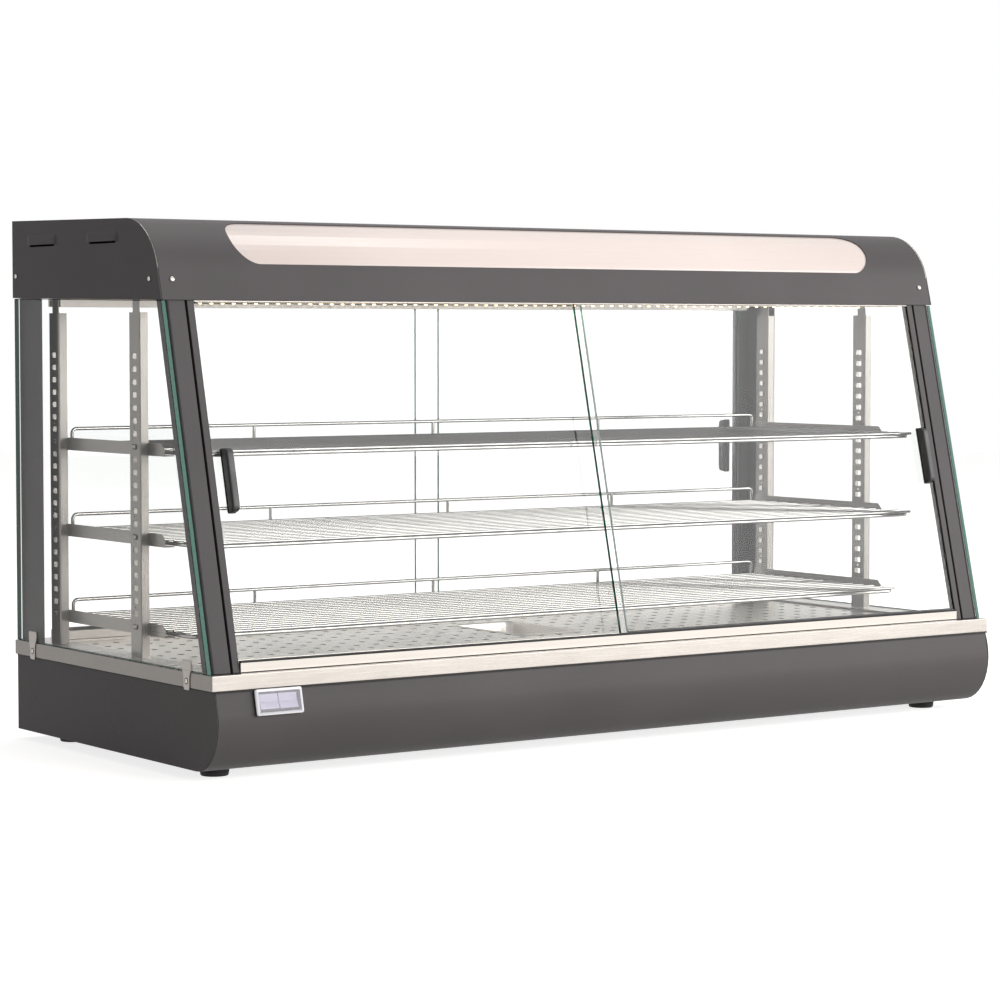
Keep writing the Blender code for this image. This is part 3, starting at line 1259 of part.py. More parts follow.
def main():
    """Build every piece of the case."""
    clear_scene()
    painted = material("charcoal_painted_steel", (0.105, 0.098, 0.094), 0.45, 0.0)
    steel = material("stainless_steel", (0.62, 0.60, 0.57), 0.28, 1.0)
    chrome = material("chromed_wire", (0.75, 0.74, 0.73), 0.12, 1.0)
    glass = material("clear_glass", (0.80, 0.92, 0.88), 0.05, 0.0, 0.25)
    clear = material("clear_plastic_cover", (0.85, 0.85, 0.88), 0.15, 0.0, 0.5)
    white = material("lit_white_acrylic", (0.92, 0.88, 0.82), 0.4, 0.0)
    rocker = material("pale_rocker_plastic", (0.80, 0.79, 0.83), 0.35, 0.0)
    dark = material("black_plastic", (0.02, 0.02, 0.022), 0.4, 0.0)
    rubber = material("black_rubber", (0.015, 0.015, 0.015), 0.8, 0.0)
    ceramic = material("white_ceramic", (0.82, 0.80, 0.75), 0.5, 0.0)
    pale = material("pale_painted_aluminium", (0.70, 0.70, 0.68), 0.4, 0.0)

    build_base(steel, painted)
    build_floor(steel)
    build_heater(steel, ceramic, dark)
    build_gland(dark)
    build_feet(rubber)
    build_switch(dark, clear, rocker)
    build_posts(painted)
    build_side_glass(glass, steel)
    build_tracks(steel, pale)
    build_doors(glass, dark)
    build_canopy(painted, white)
    build_ceiling(pale, white, dark)
    build_uprights(steel)
    build_brackets(steel)
    build_shelves(chrome)


main()
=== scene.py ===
"""Heated display case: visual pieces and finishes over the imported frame, and a plain studio."""
import math

import bmesh
import bpy
import mathutils
import numpy as np
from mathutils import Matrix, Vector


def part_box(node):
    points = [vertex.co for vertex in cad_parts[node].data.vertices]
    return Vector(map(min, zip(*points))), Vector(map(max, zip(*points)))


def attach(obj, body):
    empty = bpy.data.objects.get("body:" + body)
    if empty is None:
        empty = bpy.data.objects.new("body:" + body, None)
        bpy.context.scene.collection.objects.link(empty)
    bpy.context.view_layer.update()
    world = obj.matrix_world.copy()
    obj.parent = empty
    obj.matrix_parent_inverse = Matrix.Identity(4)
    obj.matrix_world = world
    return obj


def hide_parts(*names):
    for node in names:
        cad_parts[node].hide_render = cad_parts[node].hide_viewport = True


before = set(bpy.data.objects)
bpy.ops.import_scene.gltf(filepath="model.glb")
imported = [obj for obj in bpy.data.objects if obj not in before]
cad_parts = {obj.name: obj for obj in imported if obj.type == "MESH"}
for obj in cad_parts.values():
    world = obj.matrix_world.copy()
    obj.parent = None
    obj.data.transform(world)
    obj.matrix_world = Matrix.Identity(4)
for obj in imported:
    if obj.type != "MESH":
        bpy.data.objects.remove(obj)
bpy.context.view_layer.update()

bl_info = {
    "name": "Heated display case",
    "version": (1, 0, 0),
    "blender": (4, 5, 0),
    "location": "3D View > Sidebar > Display case",
    "description": "Dresses a heated glass display case in detailed pieces and procedural finishes",
    "category": "Add Mesh",
}

UP = np.array((0.0, 0.0, 1.0))
MM = 0.001


# Colours

def linear(code):
    """An sRGB hex code as linear red, green, blue and a full alpha."""
    shares = [int(code[at:at + 2], 16) / 255 for at in (1, 3, 5)]
    bent = [share / 12.92 if share <= 0.04045 else ((share + 0.055) / 1.055) ** 2.4 for share in shares]
    return (*bent, 1.0)


# Settings that a user would change

def colour(name, description, code):
    """A colour setting with its default as an sRGB hex code."""
    return bpy.props.FloatVectorProperty(
        name=name, description=description, subtype="COLOR", size=4, min=0, max=1, default=linear(code))


def length(name, description, millimetres):
    """A length setting with its default in millimetres."""
    return bpy.props.FloatProperty(
        name=name, description=description, unit="LENGTH", subtype="DISTANCE", min=0,
        precision=5, default=millimetres * MM)


class CaseColours(bpy.types.PropertyGroup):
    """Colours of the case's finishes."""

    coat: colour("Powder coat", "Charcoal coat of base, posts and canopy", "#4E4A4B")
    sign: colour("Sign window", "Opal sheet behind the window", "#D8CAC4")
    lamp: colour("Lamp", "Warm light of the lamp row", "#FFDDA6")
    edge: colour("Glass edge", "Cut edge of the float glass", "#1B5A4B")
    steel: colour("Stainless steel", "Brushed sheet of rim, floor and rails", "#D9D2CB")
    chrome: colour("Chromed wire", "Plated wire of the shelves", "#A5A39F")
    black: colour("Black plastic", "Pulls, feet and housing", "#232122")
    rocker: colour("Rocker", "Pale switch rockers", "#BAB9C2")


class CaseSizes(bpy.types.PropertyGroup):
    """Sizes of the details that the visual pieces add."""

    deck_wire: length("Deck wire", "Diameter of the wires that carry the food", 3.6)
    frame_wire: length("Frame wire", "Diameter of a shelf's outer wire", 4.9)
    frame_corner: length("Frame corner", "Bend radius of a shelf's outer wire", 11.0)
    hole_pitch: length("Hole pitch", "Spacing of the floor's holes along the width", 28.8)
    hole_row: length("Hole row", "Spacing of the floor's rows of holes", 33.5)
    hole: length("Hole", "Diameter of a hole in the floor", 9.2)
    lamp_pitch: length("Lamp pitch", "Spacing of the lamps in the row", 15.0)
    glass_arris: length("Glass arris", "Width of the polished bevel on a pane's edge", 0.6)


class StudioSettings(bpy.types.PropertyGroup):
    """Light and camera of the studio."""

    lens: bpy.props.FloatProperty(
        name="Lens", description="Focal length on a 36 mm sensor", unit="CAMERA", default=107.9)
    key: bpy.props.FloatProperty(
        name="Key light", description="Power of the large front lamp", subtype="POWER", default=345.0)
    fill: bpy.props.FloatProperty(
        name="Top light", description="Power of the overhead lamp", subtype="POWER", default=45.0)
    sky: bpy.props.FloatProperty(
        name="Surrounding light", description="Strength of the even light from all sides", default=0.12)
    floor: colour("Floor", "Plain pale studio floor", "#DFDDDA")


SETTINGS = {
    "case_colours": CaseColours,
    "case_sizes": CaseSizes,
    "case_studio": StudioSettings,
}


def settings(name):
    """One group of the scene's settings."""
    return getattr(bpy.context.scene, name)


def case_colour(name):
    """One of the case's colours, as red, green, blue and alpha."""
    return tuple(getattr(settings("case_colours"), name))


# Node helpers

def add(tree, kind, inputs=(), **values):
    """A node of a kind with its settings, whose named or numbered inputs get a value or a link."""
    made = tree.nodes.new(kind)
    for name, value in values.items():
        setattr(made, name, value)
    for name, value in dict(inputs).items():
        if isinstance(value, bpy.types.NodeSocket):
            tree.links.new(value, made.inputs[name])
        else:
            made.inputs[name].default_value = value
    return made


def finish(name):
    """A new material and its empty node tree."""
    made = bpy.data.materials.new(name)
    made.use_nodes = True
    made.node_tree.nodes.clear()
    return made, made.node_tree


def close(made, shader):
    """Links a shader to the material's output, and returns the material."""
    tree = made.node_tree
    tree.links.new(shader.outputs[0], add(tree, "ShaderNodeOutputMaterial").inputs[0])
    return made


def coordinates(tree, kind="Object"):
    """Object coordinates, or the direction that the surface faces in them with the kind Normal."""
    return add(tree, "ShaderNodeTexCoord").outputs[kind]


def grain(tree, scale, detail=2.0, roughness=0.5):
    """Noise whose grain per metre is one number, or one for each axis, so that it can run one way."""
    scale = scale if isinstance(scale, tuple) else (scale, scale, scale)
    mapped = add(tree, "ShaderNodeMapping", {"Vector": coordinates(tree), "Scale": scale})
    return add(tree, "ShaderNodeTexNoise", {"Vector": mapped.outputs[0], "Scale": 1.0, "Detail": detail,
                                            "Roughness": roughness}).outputs["Fac"]


def scattered(tree, scale):
    """The distance to the nearest of points scattered at so many per metre."""
    cells = add(tree, "ShaderNodeTexVoronoi", {"Vector": coordinates(tree), "Scale": scale})
    return cells.outputs["Distance"]


def worked(tree, operation, first, second=0.5):
    """The result of a sum on one or two values."""
    return add(tree, "ShaderNodeMath", {0: first, 1: second}, operation=operation).outputs[0]


def either_way(tree, kind, axis):
    """How far a point lies along an axis, or how much its surface faces along it, without the sign."""
    parts = add(tree, "ShaderNodeSeparateXYZ", {0: coordinates(tree, kind)})
    return worked(tree, "ABSOLUTE", parts.outputs[axis])


def spread(tree, value, low, high, start=0.3, end=0.7):
    """A value between start and end spread to a range, held at its ends."""
    return add(tree, "ShaderNodeMapRange", {"Value": value, "From Min": start, "From Max": end,
                                            "To Min": low, "To Max": high}).outputs[0]


def tinted(tree, share, first, second):
    """A colour that goes from one to another by a share."""
    return add(tree, "ShaderNodeMix", {0: share, 6: first, 7: second}, data_type="RGBA").outputs[2]


def shaded(base, factor):
    """A colour made darker or lighter by a factor."""
    return tuple(min(1.0, share * factor) for share in base[:3]) + (1.0,)


def mixed(tree, share, first, second):
    """One shader that goes over into another by a share."""
    return add(tree, "ShaderNodeMixShader", {0: share, 1: first.outputs[0], 2: second.outputs[0]})


def solid(tree, skin, rough, height=None, relief=(0.1, 0.0002), **others):
    """The usual opaque shader. Its relief is a strength and a depth in metres. Other inputs are named as
    Blender does, with low lines for the spaces."""
    inputs = {"Base Color": skin, "Roughness": rough}
    if height is not None:
        bump = add(tree, "ShaderNodeBump", {"Height": height, "Strength": relief[0], "Distance": relief[1]})
        inputs["Normal"] = bump.outputs[0]
    inputs.update((name.replace("_", " "), value) for name, value in others.items())
    return add(tree, "ShaderNodeBsdfPrincipled", inputs)


# Finishes

def powder_coated_steel():
    """Powder coat, baked on: matt, with orange peel about 1.5 mm wide and a faint sparkle of grit."""
    made, tree = finish("powder_coated_steel")
    base = case_colour("coat")
    peel = grain(tree, 620, 3, 0.6)
    grit = scattered(tree, 900.0)
    body = tinted(tree, spread(tree, grain(tree, 7), 0, 1), shaded(base, 0.93), shaded(base, 1.06))
    speck = worked(tree, "MULTIPLY", spread(tree, grit, 1.0, 0.0, 0.04, 0.16), 0.35)
    skin = tinted(tree, speck, body, shaded(base, 1.5))
    return close(made, solid(tree, skin, spread(tree, peel, 0.46, 0.6), peel, (0.28, 0.0002),
                             Specular_IOR_Level=0.2))


def brushed_steel(name, tone, along, rough, dark, ends=1.0):
    """Sheet stainless: fine scratches along one axis, a soft stretched gleam and faint handling marks. Faces
    at its two ends, which look along X, are darkened by the factor given, as painted shade."""
    made, tree = finish(name)
    base = shaded(case_colour("steel"), tone)
    scratch = grain(tree, along, 3, 0.7)
    smear = grain(tree, (6, 9, 6), 3, 0.6)
    skin = tinted(tree, spread(tree, scratch, 0, 1, 0.25, 0.75), shaded(base, dark), base)
    # painted shade: faces that look along X are darkened by the factor ends
    end_share = spread(tree, either_way(tree, "Normal", "X"), 0, 1, 0.5, 0.9)
    skin = tinted(tree, end_share, skin, shaded(base, ends))
    worn = worked(tree, "ADD", spread(tree, scratch, rough - 0.07, rough + 0.07, 0.2, 0.8),
                  spread(tree, smear, -0.04, 0.06))
    return close(made, solid(tree, skin, worn, scratch, (0.12, 0.0001), Metallic=1.0))


def chromed_wire():
    """Bright chrome on drawn wire: a sharp gleam on its sides, painted shade (near black) along its top and
    foot, broken by slight ripples and dull specks of wear."""
    made, tree = finish("chromed_wire")
    base = case_colour("chrome")
    wear = grain(tree, 300, 4, 0.7)
    skin = tinted(tree, spread(tree, wear, 0, 1, 0.55, 0.75), base, shaded(base, 0.72))
    # painted shade: where the wire faces up or down, its colour goes near black
    painted_shade_share = spread(tree, either_way(tree, "Normal", "Z"), 0, 1, 0.3, 0.8)
    skin = tinted(tree, painted_shade_share, skin, shaded(base, 0.08))
    rough = spread(tree, wear, 0.13, 0.3, 0.4, 0.75)
    return close(made, solid(tree, skin, rough, grain(tree, (60, 60, 200)), Metallic=1.0))


def float_glass():
    """Float glass in thin panes: clear and unbent, with a trace of green in wiping streaks. Its front face
    mirrors more at a slant, as Fresnel's law says, at half strength, as through a polarising filter."""
    made, tree = finish("float_glass")
    streak = spread(tree, grain(tree, (9, 9, 1.5), 4, 0.6), 0.0, 1.0)
    tint = tinted(tree, streak, (0.997, 1.0, 0.998, 1), (0.987, 0.993, 0.99, 1))
    side = add(tree, "ShaderNodeNewGeometry").outputs["Backfacing"]
    slant = add(tree, "ShaderNodeFresnel", {"IOR": 1.52}).outputs[0]
    share = worked(tree, "MULTIPLY", slant, spread(tree, side, 0.5, 0.0, 0.0, 1.0))
    clear = add(tree, "ShaderNodeBsdfTransparent", {"Color": tint})
    mirror = add(tree, "ShaderNodeBsdfGlossy", {"Color": (1, 1, 1, 1), "Roughness": 0.0})
    return close(made, mixed(tree, share, clear, mirror))


def glass_edge(name, tone):
    """Ground and polished glass edge: deep green, with a painted glow where light would leave it, and
    grinding lines.
    """
    made, tree = finish(name)
    base = shaded(case_colour("edge"), tone)
    lines = grain(tree, (900, 900, 12), 3, 0.6)
    skin = tinted(tree, spread(tree, lines, 0, 1), shaded(base, 0.5), shaded(base, 1.3))
    skin = tinted(tree, spread(tree, grain(tree, 5), 0, 0.45), skin, shaded(base, 1.1))
    # the emission is a painted glow, not a lamp
    return close(made, solid(tree, skin, spread(tree, lines, 0.1, 0.24), IOR=1.52, Specular_IOR_Level=0.2,
                             Emission_Color=skin, Emission_Strength=0.12))


def clear_plastic():
    """Moulded clear cover: glossy, slightly lavender, with soft waves from the mould, and its slanted rim
    painted white with a painted glow, standing in for light caught inside the wall."""
    made, tree = finish("clear_plastic")
    wave = grain(tree, 130)
    # painted highlight: the slanted rim is painted white and given a painted glow
    painted_glow_share = spread(tree, either_way(tree, "Normal", "Y"), 0.75, 0.12, 0.8, 0.95)
    clear = add(tree, "ShaderNodeBsdfTransparent", {"Color": (0.93, 0.92, 0.96, 1)})
    painted_glow_rim = solid(tree, (0.9, 0.9, 0.93, 1), spread(tree, wave, 0.1, 0.2), wave, (0.15, 0.0004), IOR=1.49,
                  Emission_Color=(1, 1, 1, 1), Emission_Strength=0.3)
    return close(made, mixed(tree, painted_glow_share, clear, painted_glow_rim))


def moulded_plastic(name, base, rough, fine, relief=0.25):
    """Moulded plastic: a fine sand-like mould texture, with the gloss a little worn in patches."""
    made, tree = finish(name)
    sand = grain(tree, fine, 3, 0.65)
    skin = tinted(tree, spread(tree, sand, 0, 1), shaded(base, 0.88), shaded(base, 1.1))
    worn = spread(tree, grain(tree, 40), rough - 0.05, rough + 0.08)
    return close(made, solid(tree, skin, worn, sand, (relief, 0.00015), IOR=1.5))


def opal_sheet():
    """Opal acrylic lit from behind: an even warm glow, a little dimmer towards its two ends."""
    made, tree = finish("opal_sheet")
    base = case_colour("sign")
    mottle = grain(tree, 9, 3)
    end_share = spread(tree, either_way(tree, "Object", "X"), 0.0, 1.0, 0.25, 0.5)
    glow = tinted(tree, end_share, base, shaded(base, 0.86))
    glow = tinted(tree, spread(tree, mottle, 0.0, 0.4), glow, shaded(base, 0.95))
    return close(made, solid(tree, glow, spread(tree, mottle, 0.16, 0.24), IOR=1.49, Emission_Color=glow,
                             Emission_Strength=0.15))


def lamp_dome():
    """Phosphor under a clear dome: bright and warm, with paler grains of phosphor."""
    made, tree = finish("lamp_dome")
    speckle = grain(tree, 1500)
    glow = tinted(tree, spread(tree, speckle, 0, 0.5), case_colour("lamp"), linear("#FFF0CF"))
    return close(made, solid(tree, glow, spread(tree, speckle, 0.2, 0.35), Emission_Color=glow,
                             Emission_Strength=3.0))


def printed_strip():
    """White lacquered lamp board: satin, with the faint shadow of the copper tracks under the lacquer."""
    made, tree = finish("printed_strip")
    track = add(tree, "ShaderNodeTexBrick", {
        "Vector": coordinates(tree), "Color1": linear("#F1E7D8"), "Color2": linear("#E6DAC6"),
        "Mortar": linear("#B7A488"), "Scale": 1.0, "Mortar Size": 0.0006, "Brick Width": 0.015,
        "Row Height": 0.006}).outputs["Color"]
    return close(made, solid(tree, track, spread(tree, grain(tree, 200, 3), 0.35, 0.5)))


def glazed_ceramic():
    """Fired ceramic: off-white and smooth, with sparse brown pinholes."""
    made, tree = finish("glazed_ceramic")
    holes = scattered(tree, 300.0)
    skin = tinted(tree, spread(tree, holes, 0, 1, 0.05, 0.14), linear("#8E7F6C"), linear("#EFEBE2"))
    return close(made, solid(tree, skin, spread(tree, holes, 0.4, 0.22, 0, 0.4)))


FINISHES = {}


def make_finishes():
    """Every finish of the case, once each."""
    FINISHES.update({
        "coat": powder_coated_steel(),
        # the rim's last number darkens the faces at its two ends: painted shade
        "rim": brushed_steel("brushed_stainless_rim", 0.58, (14, 900, 900), 0.26, 0.93, 0.45),
        "deck": brushed_steel("brushed_stainless_floor", 1.0, (14, 900, 900), 0.3, 0.93),
        "rail": brushed_steel("rolled_stainless_rail", 0.27, (900, 900, 12), 0.3, 0.85),
        "clip": brushed_steel("pressed_stainless_clip", 0.45, (900, 14, 900), 0.3, 0.85),
        "bracket": brushed_steel("rolled_stainless_bracket", 0.31, (900, 14, 900), 0.32, 0.82),
        "track": brushed_steel("drawn_aluminium_track", 0.55, (10, 700, 700), 0.36, 0.92),
        # painted shade: the walls of the floor's holes are painted near black
        "punched": brushed_steel("oxidised_punched_edge", 0.03, (60, 60, 900), 0.5, 0.6),
        "screw": brushed_steel("turned_zinc_screw", 0.9, (1500, 1500, 1500), 0.25, 0.7),
        # the seam finish is a painted highlight, brighter than the steel itself
        "seam": brushed_steel("dressed_steel_seam", 1.15, (1500, 60, 60), 0.3, 0.8),
        "chrome": chromed_wire(),
        "glass": float_glass(),
        "edge": glass_edge("polished_glass_edge", 1.0),
        # the arris is the same glass as the edge, painted four times darker as shade
        "arris": glass_edge("ground_glass_arris", 0.25),
        "cover": clear_plastic(),
        "black": moulded_plastic("moulded_black_plastic", case_colour("black"), 0.42, 1100),
        "rubber": moulded_plastic("pressed_black_rubber", shaded(case_colour("black"), 0.8), 0.72, 800, 0.4),
        "rocker": moulded_plastic("moulded_pale_plastic", case_colour("rocker"), 0.28, 700, 0.08),
        "sign": opal_sheet(),
        "lamp": lamp_dome(),
        "strip": printed_strip(),
        "ceramic": glazed_ceramic(),
    })


# Surfaces worked out as whole arrays

def corners(node):
    """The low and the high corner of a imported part's box."""
    return [np.array(corner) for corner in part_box(node)]


def spots(x, y, z):
    """Points from coordinates whose shapes match or stretch to match."""
    return np.stack(np.broadcast_arrays(x, y, z), axis=-1)


def full_turn(count):
    """Angles at even steps round a circle."""
    return np.arange(count) * 2 * np.pi / count


def grid_faces(rows, columns, wrap=False):
    """Corner numbers of the faces between neighbours in a grid of points; wrap joins its last column to
    its first."""
    row = np.arange(rows - 1)[:, None]
    column = np.arange(columns if wrap else columns - 1)[None, :]
    after = (column + 1) % columns
    numbers = (row * columns + column, row * columns + after,
               (row + 1) * columns + after, (row + 1) * columns + column)
    return np.stack(numbers, axis=-1).reshape(-1, 4)


def loft(rings, capped=True):
    """A skin through equal closed rings, (ring, point, 3); flat caps close the first and the last."""
    rings = np.asarray(rings, float)
    count, size = rings.shape[:2]
    faces = [grid_faces(count, size, wrap=True)]
    if capped:
        faces += [np.arange(size)[None, ::-1], (count - 1) * size + np.arange(size)[None]]
    return rings.reshape(-1, 3), faces


def bar(ends, outline):
    """A bar along X between two places, whose section is an outline of (y, z)."""
    return loft([spots(x, outline[:, 0], outline[:, 1]) for x in ends])


def sheet(grid):
    """An open skin over a grid of points, (row, column, 3)."""
    return grid.reshape(-1, 3), [grid_faces(*grid.shape[:2])]


def wire(path, diameter, plane, sides, closed=False):
    """A round wire: a circle carried along a flat path. Each ring is centre + r (cos t * plane normal
    + sin t * the direction square to both the path and that normal)."""
    path = np.asarray(path, float)
    if closed:
        path = np.concatenate((path, path[:1]))
        ahead = np.roll(path[:-1], -1, 0) - np.roll(path[:-1], 1, 0)
        ahead = np.concatenate((ahead, ahead[:1]))
    else:
        ahead = np.gradient(path, axis=0)
    ahead /= np.linalg.norm(ahead, axis=1, keepdims=True)
    side = np.cross(ahead, plane)
    turn = full_turn(sides)
    ring = np.cos(turn)[:, None] * np.asarray(plane, float) + np.sin(turn)[:, None] * side[:, None]
    return loft(path[:, None] + ring * diameter / 2, capped=not closed)


def axes_for(direction):
    """Two unit vectors square to a direction and to each other, and the direction itself."""
    direction = np.asarray(direction, float) / np.linalg.norm(direction)
    helper = UP if abs(direction[2]) < 0.9 else np.array((1.0, 0.0, 0.0))
    first = np.cross(helper, direction)
    first /= np.linalg.norm(first)
    return first, np.cross(direction, first), direction


def turned(profile, centre, direction, sides):
    """A turned shape: each (radius, height) of the profile becomes a circle at that height along the
    direction."""
    profile = np.asarray(profile, float)
    first, second, along = axes_for(direction)
    turn = full_turn(sides)
    ring = np.cos(turn)[:, None] * first + np.sin(turn)[:, None] * second
    return loft(np.asarray(centre, float) + profile[:, 0, None, None] * ring[None]
                + profile[:, 1, None, None] * along)


def rounded(low, high, radius, steps, square=False):
    """The outline of a rectangle, anticlockwise, as (n, 2): each corner is a quarter turn about a centre
    set in by the radius. A square corner gets as many points, pushed out to the two straight sides."""
    (x0, y0), (x1, y1) = low, high
    centres = np.array(((x1 - radius, y1 - radius), (x0 + radius, y1 - radius),
                        (x0 + radius, y0 + radius), (x1 - radius, y0 + radius)))
    turn = (np.arange(4)[:, None] + np.linspace(0, 1, steps + 1)[None]) * np.pi / 2
    unit = np.stack((np.cos(turn), np.sin(turn)), axis=-1)
    if square:
        unit /= np.abs(unit).max(axis=-1, keepdims=True)
    return (centres[:, None] + radius * unit).reshape(-1, 2)


def inset_outline(outline, amount):
    """An anticlockwise outline moved inwards: each corner goes to where its two moved sides cross."""
    outline = np.asarray(outline, float)
    side = np.roll(outline, -1, 0) - outline
    side /= np.linalg.norm(side, axis=1, keepdims=True)
    inward = np.stack((-side[:, 1], side[:, 0]), axis=-1)
    before = np.roll(inward, 1, 0)
    share = 1 + (inward * before).sum(axis=1, keepdims=True)
    return outline + amount * (inward + before) / share


def joined(skins):
    """Several skins as one."""
    points, faces, start = [], [], 0
    for skin_points, skin_faces in skins:
        points.append(skin_points)
        faces += [part + start for part in skin_faces]
        start += len(skin_points)
    return np.concatenate(points), faces


def round_edges(made, width):
    """Small rounds on the sharp edges, which catch the light as folded and cut edges do."""
    edge = made.modifiers.new("edges", "BEVEL")
    edge.width = width
    edge.segments = 2
    edge.limit_method = "ANGLE"
    edge.angle_limit = math.radians(32)
    edge.harden_normals = True


def face_out(mesh, facing):
    """Flips an open sheet whose faces, weighed by area, look away from the side that it should face."""
    normals = np.zeros(len(mesh.polygons) * 3)
    areas = np.zeros(len(mesh.polygons))
    mesh.polygons.foreach_get("normal", normals)
    mesh.polygons.foreach_get("area", areas)
    if ((normals.reshape(-1, 3) * areas[:, None]).sum(axis=0) * facing).sum() < 0:
        mesh.flip_normals()


def make_piece(name, skins, body, replaced=(), sharp=35.0, wall=0.0, facing=None, bevel=0.0):
    """One object from (skin, finish) pairs. Doubled points are merged and faces turned outwards. An open
    sheet names the side it faces and gets its wall behind it. Its rim stays sharp."""
    points, faces, looks, start = [], [], [], 0
    names = list(dict.fromkeys(look for _skin, look in skins))
    for (skin_points, skin_faces), look in skins:
        points.append(skin_points)
        for part in skin_faces:
            faces += (part + start).tolist()
            looks += [names.index(look)] * len(part)
        start += len(skin_points)
    mesh = bpy.data.meshes.new(name)
    mesh.from_pydata(np.concatenate(points).tolist(), [], faces)
    mesh.polygons.foreach_set("material_index", looks)
    work = bmesh.new()
    work.from_mesh(mesh)
    bmesh.ops.remove_doubles(work, verts=work.verts, dist=1e-6)
    bmesh.ops.delete(work, geom=[point for point in work.verts if not point.link_faces], context="VERTS")
    bmesh.ops.recalc_face_normals(work, faces=work.faces)
    work.edges.index_update()
    rims = [edge.index for edge in work.edges if edge.is_boundary]
    work.to_mesh(mesh)
    work.free()
    if facing is not None:
        face_out(mesh, facing)
    mesh.polygons.foreach_set("use_smooth", np.ones(len(mesh.polygons), bool))
    mesh.set_sharp_from_angle(angle=math.radians(sharp))
    for rim in rims:
        mesh.edges[rim].use_edge_sharp = True
    for look in names:
        mesh.materials.append(FINISHES[look])
    made = bpy.data.objects.new(name, mesh)
    bpy.context.scene.collection.objects.link(made)
    if wall:
        made.modifiers.new("wall", "SOLIDIFY").thickness = wall
        made.modifiers["wall"].offset = -1
    if bevel:
        round_edges(made, bevel)
    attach(made, body)
    if replaced:
        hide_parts(*replaced)
    return made


def arc(centre, radius, start, end, steps):
    """Points of an arc in a plane, from one angle to another in degrees, as (n, 2)."""
    turn = np.radians(np.linspace(start, end, steps + 1))
    return np.asarray(centre) + radius * np.stack((np.cos(turn), np.sin(turn)), axis=-1)


# Lines that several pieces follow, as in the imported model

SIDES = {"left": -1, "right": 1}
RIM_TOP = 0.1247
RIM_BOTTOM = 0.1068
TRACK_TOP = 0.136
LEAN = math.radians(13.66)
LEAN_TOP_Y = -0.1313
LEAN_TOP_Z = 0.5484
LEAN_LENGTH = (LEAN_TOP_Z - RIM_TOP) / math.cos(LEAN)
LEAN_FOOT = np.array((0.0, LEAN_TOP_Y - (LEAN_TOP_Z - RIM_TOP) * math.tan(LEAN), RIM_TOP))
LEAN_UP = np.array((0.0, math.sin(LEAN), math.cos(LEAN)))
LEAN_OUT = np.array((0.0, -math.cos(LEAN), math.sin(LEAN)))
FRONT_PANE_DEPTHS = {"left": 0.0209, "right": 0.002}
FRONT_PANE_WALL = 0.004


def on_lean(x, along, depth=0.0):
    """Points on the leaning front plane: x across, along it upwards from the rim, depth in behind it."""
    x, along, depth = np.broadcast_arrays(x, along, depth)
    across = np.array((1.0, 0.0, 0.0))
    return LEAN_FOOT + x[..., None] * across + along[..., None] * LEAN_UP - depth[..., None] * LEAN_OUT


def lean_share(z):
    """The length up the leaning front plane at which it reaches a height."""
    return (z - RIM_TOP) / math.cos(LEAN)


# Glass

def pane(outline, place, thickness):
    """A pane with a polished bevel all round: its outline, moved in by the bevel on both faces, is placed
    by a function of (across, up, depth). Returns the two clear faces and the edge as skins."""
    arris = settings("case_sizes").glass_arris
    outline = np.asarray(outline, float)
    small = inset_outline(outline, arris)
    steps = ((small, 0.0), (outline, arris), (outline, thickness - arris), (small, thickness))
    rings = np.array([place(ring[:, 0], ring[:, 1], depth) for ring, depth in steps])
    count = len(small)
    faces = [np.arange(count)[None, ::-1], count + np.arange(count)[None]]
    bands = [(loft(rings[at:at + 2], capped=False), look)
             for at, look in enumerate(("arris", "edge", "arris"))]
    return [((rings[[0, -1]].reshape(-1, 3), faces), "glass")] + bands


def front_place(near):
    """Places a front pane: across along X, up along the leaning plane, depth in behind its outer face."""
    return lambda across, up, depth: on_lean(across, up, near + depth)


def rear_place(near_y):
    """Places a rear pane: across along X, up along Z, depth along Y from its front face."""
    return lambda across, up, depth: spots(across, near_y + depth, up)


def side_place(outer_x):
    """Places a side pane: across along Y, up along Z, depth inwards from its outer face."""
    inwards = -math.copysign(1, outer_x)
    return lambda across, up, depth: spots(outer_x + inwards * depth, across, up)


class CASE_OT_glass(bpy.types.Operator):
    """Adds the two fixed side panes and the four sliding panes with their green edges."""

    bl_idname = "case.glass"
    bl_label = "Glass panes"

    def execute(self, context):
        """Builds every pane over its node's place."""
        foot_gap, side_top = 0.0008, 0.5478
        for side, sign in SIDES.items():
            node = "front_pane_" + side
            low, high = corners(node)
            start, end = lean_share(low[2]) + foot_gap, lean_share(high[2])
            outline = [(low[0], start), (high[0], start), (high[0], end), (low[0], end)]
            skins = pane(outline, front_place(FRONT_PANE_DEPTHS[side]), FRONT_PANE_WALL)
            make_piece("front_door_glass_" + side, skins, "front_" + side + "_door", [node])

            node = "rear_pane_" + side
            low, high = corners(node)
            outline = [(low[0], low[2]), (high[0], low[2]), (high[0], high[2]), (low[0], high[2])]
            skins = pane(outline, rear_place(low[1]), high[1] - low[1])
            make_piece("rear_door_glass_" + side, skins, "rear_" + side + "_door", [node])

            node = "side_glass_" + side
            low, high = corners(node)
            front_top = on_lean(0.0, lean_share(side_top))[1]
            outline = [(low[1], low[2]), (high[1], low[2]), (high[1], high[2]), (front_top, side_top)]
            outer = high[0] if sign > 0 else low[0]
            skins = pane(outline, side_place(outer), high[0] - low[0])
            make_piece("side_pane_" + side, skins, "case", [node])
        return {"FINISHED"}


# Canopy

CANOPY_FOOT = (-0.1337, 0.5488)
BEND_CENTRE = (-0.0472, 0.5654)
BEND_RADIUS = 0.0794
BEND_DEGREES = 75.15
BEND_STEPS = 60
WINDOW_MIDDLE_DEGREES = 51.93
ROOF_END = (0.2525, 0.650)
BACK_END = (0.2525, 0.554)
ROOF_CORNER = 0.0025
CANOPY_HALF = 0.5982


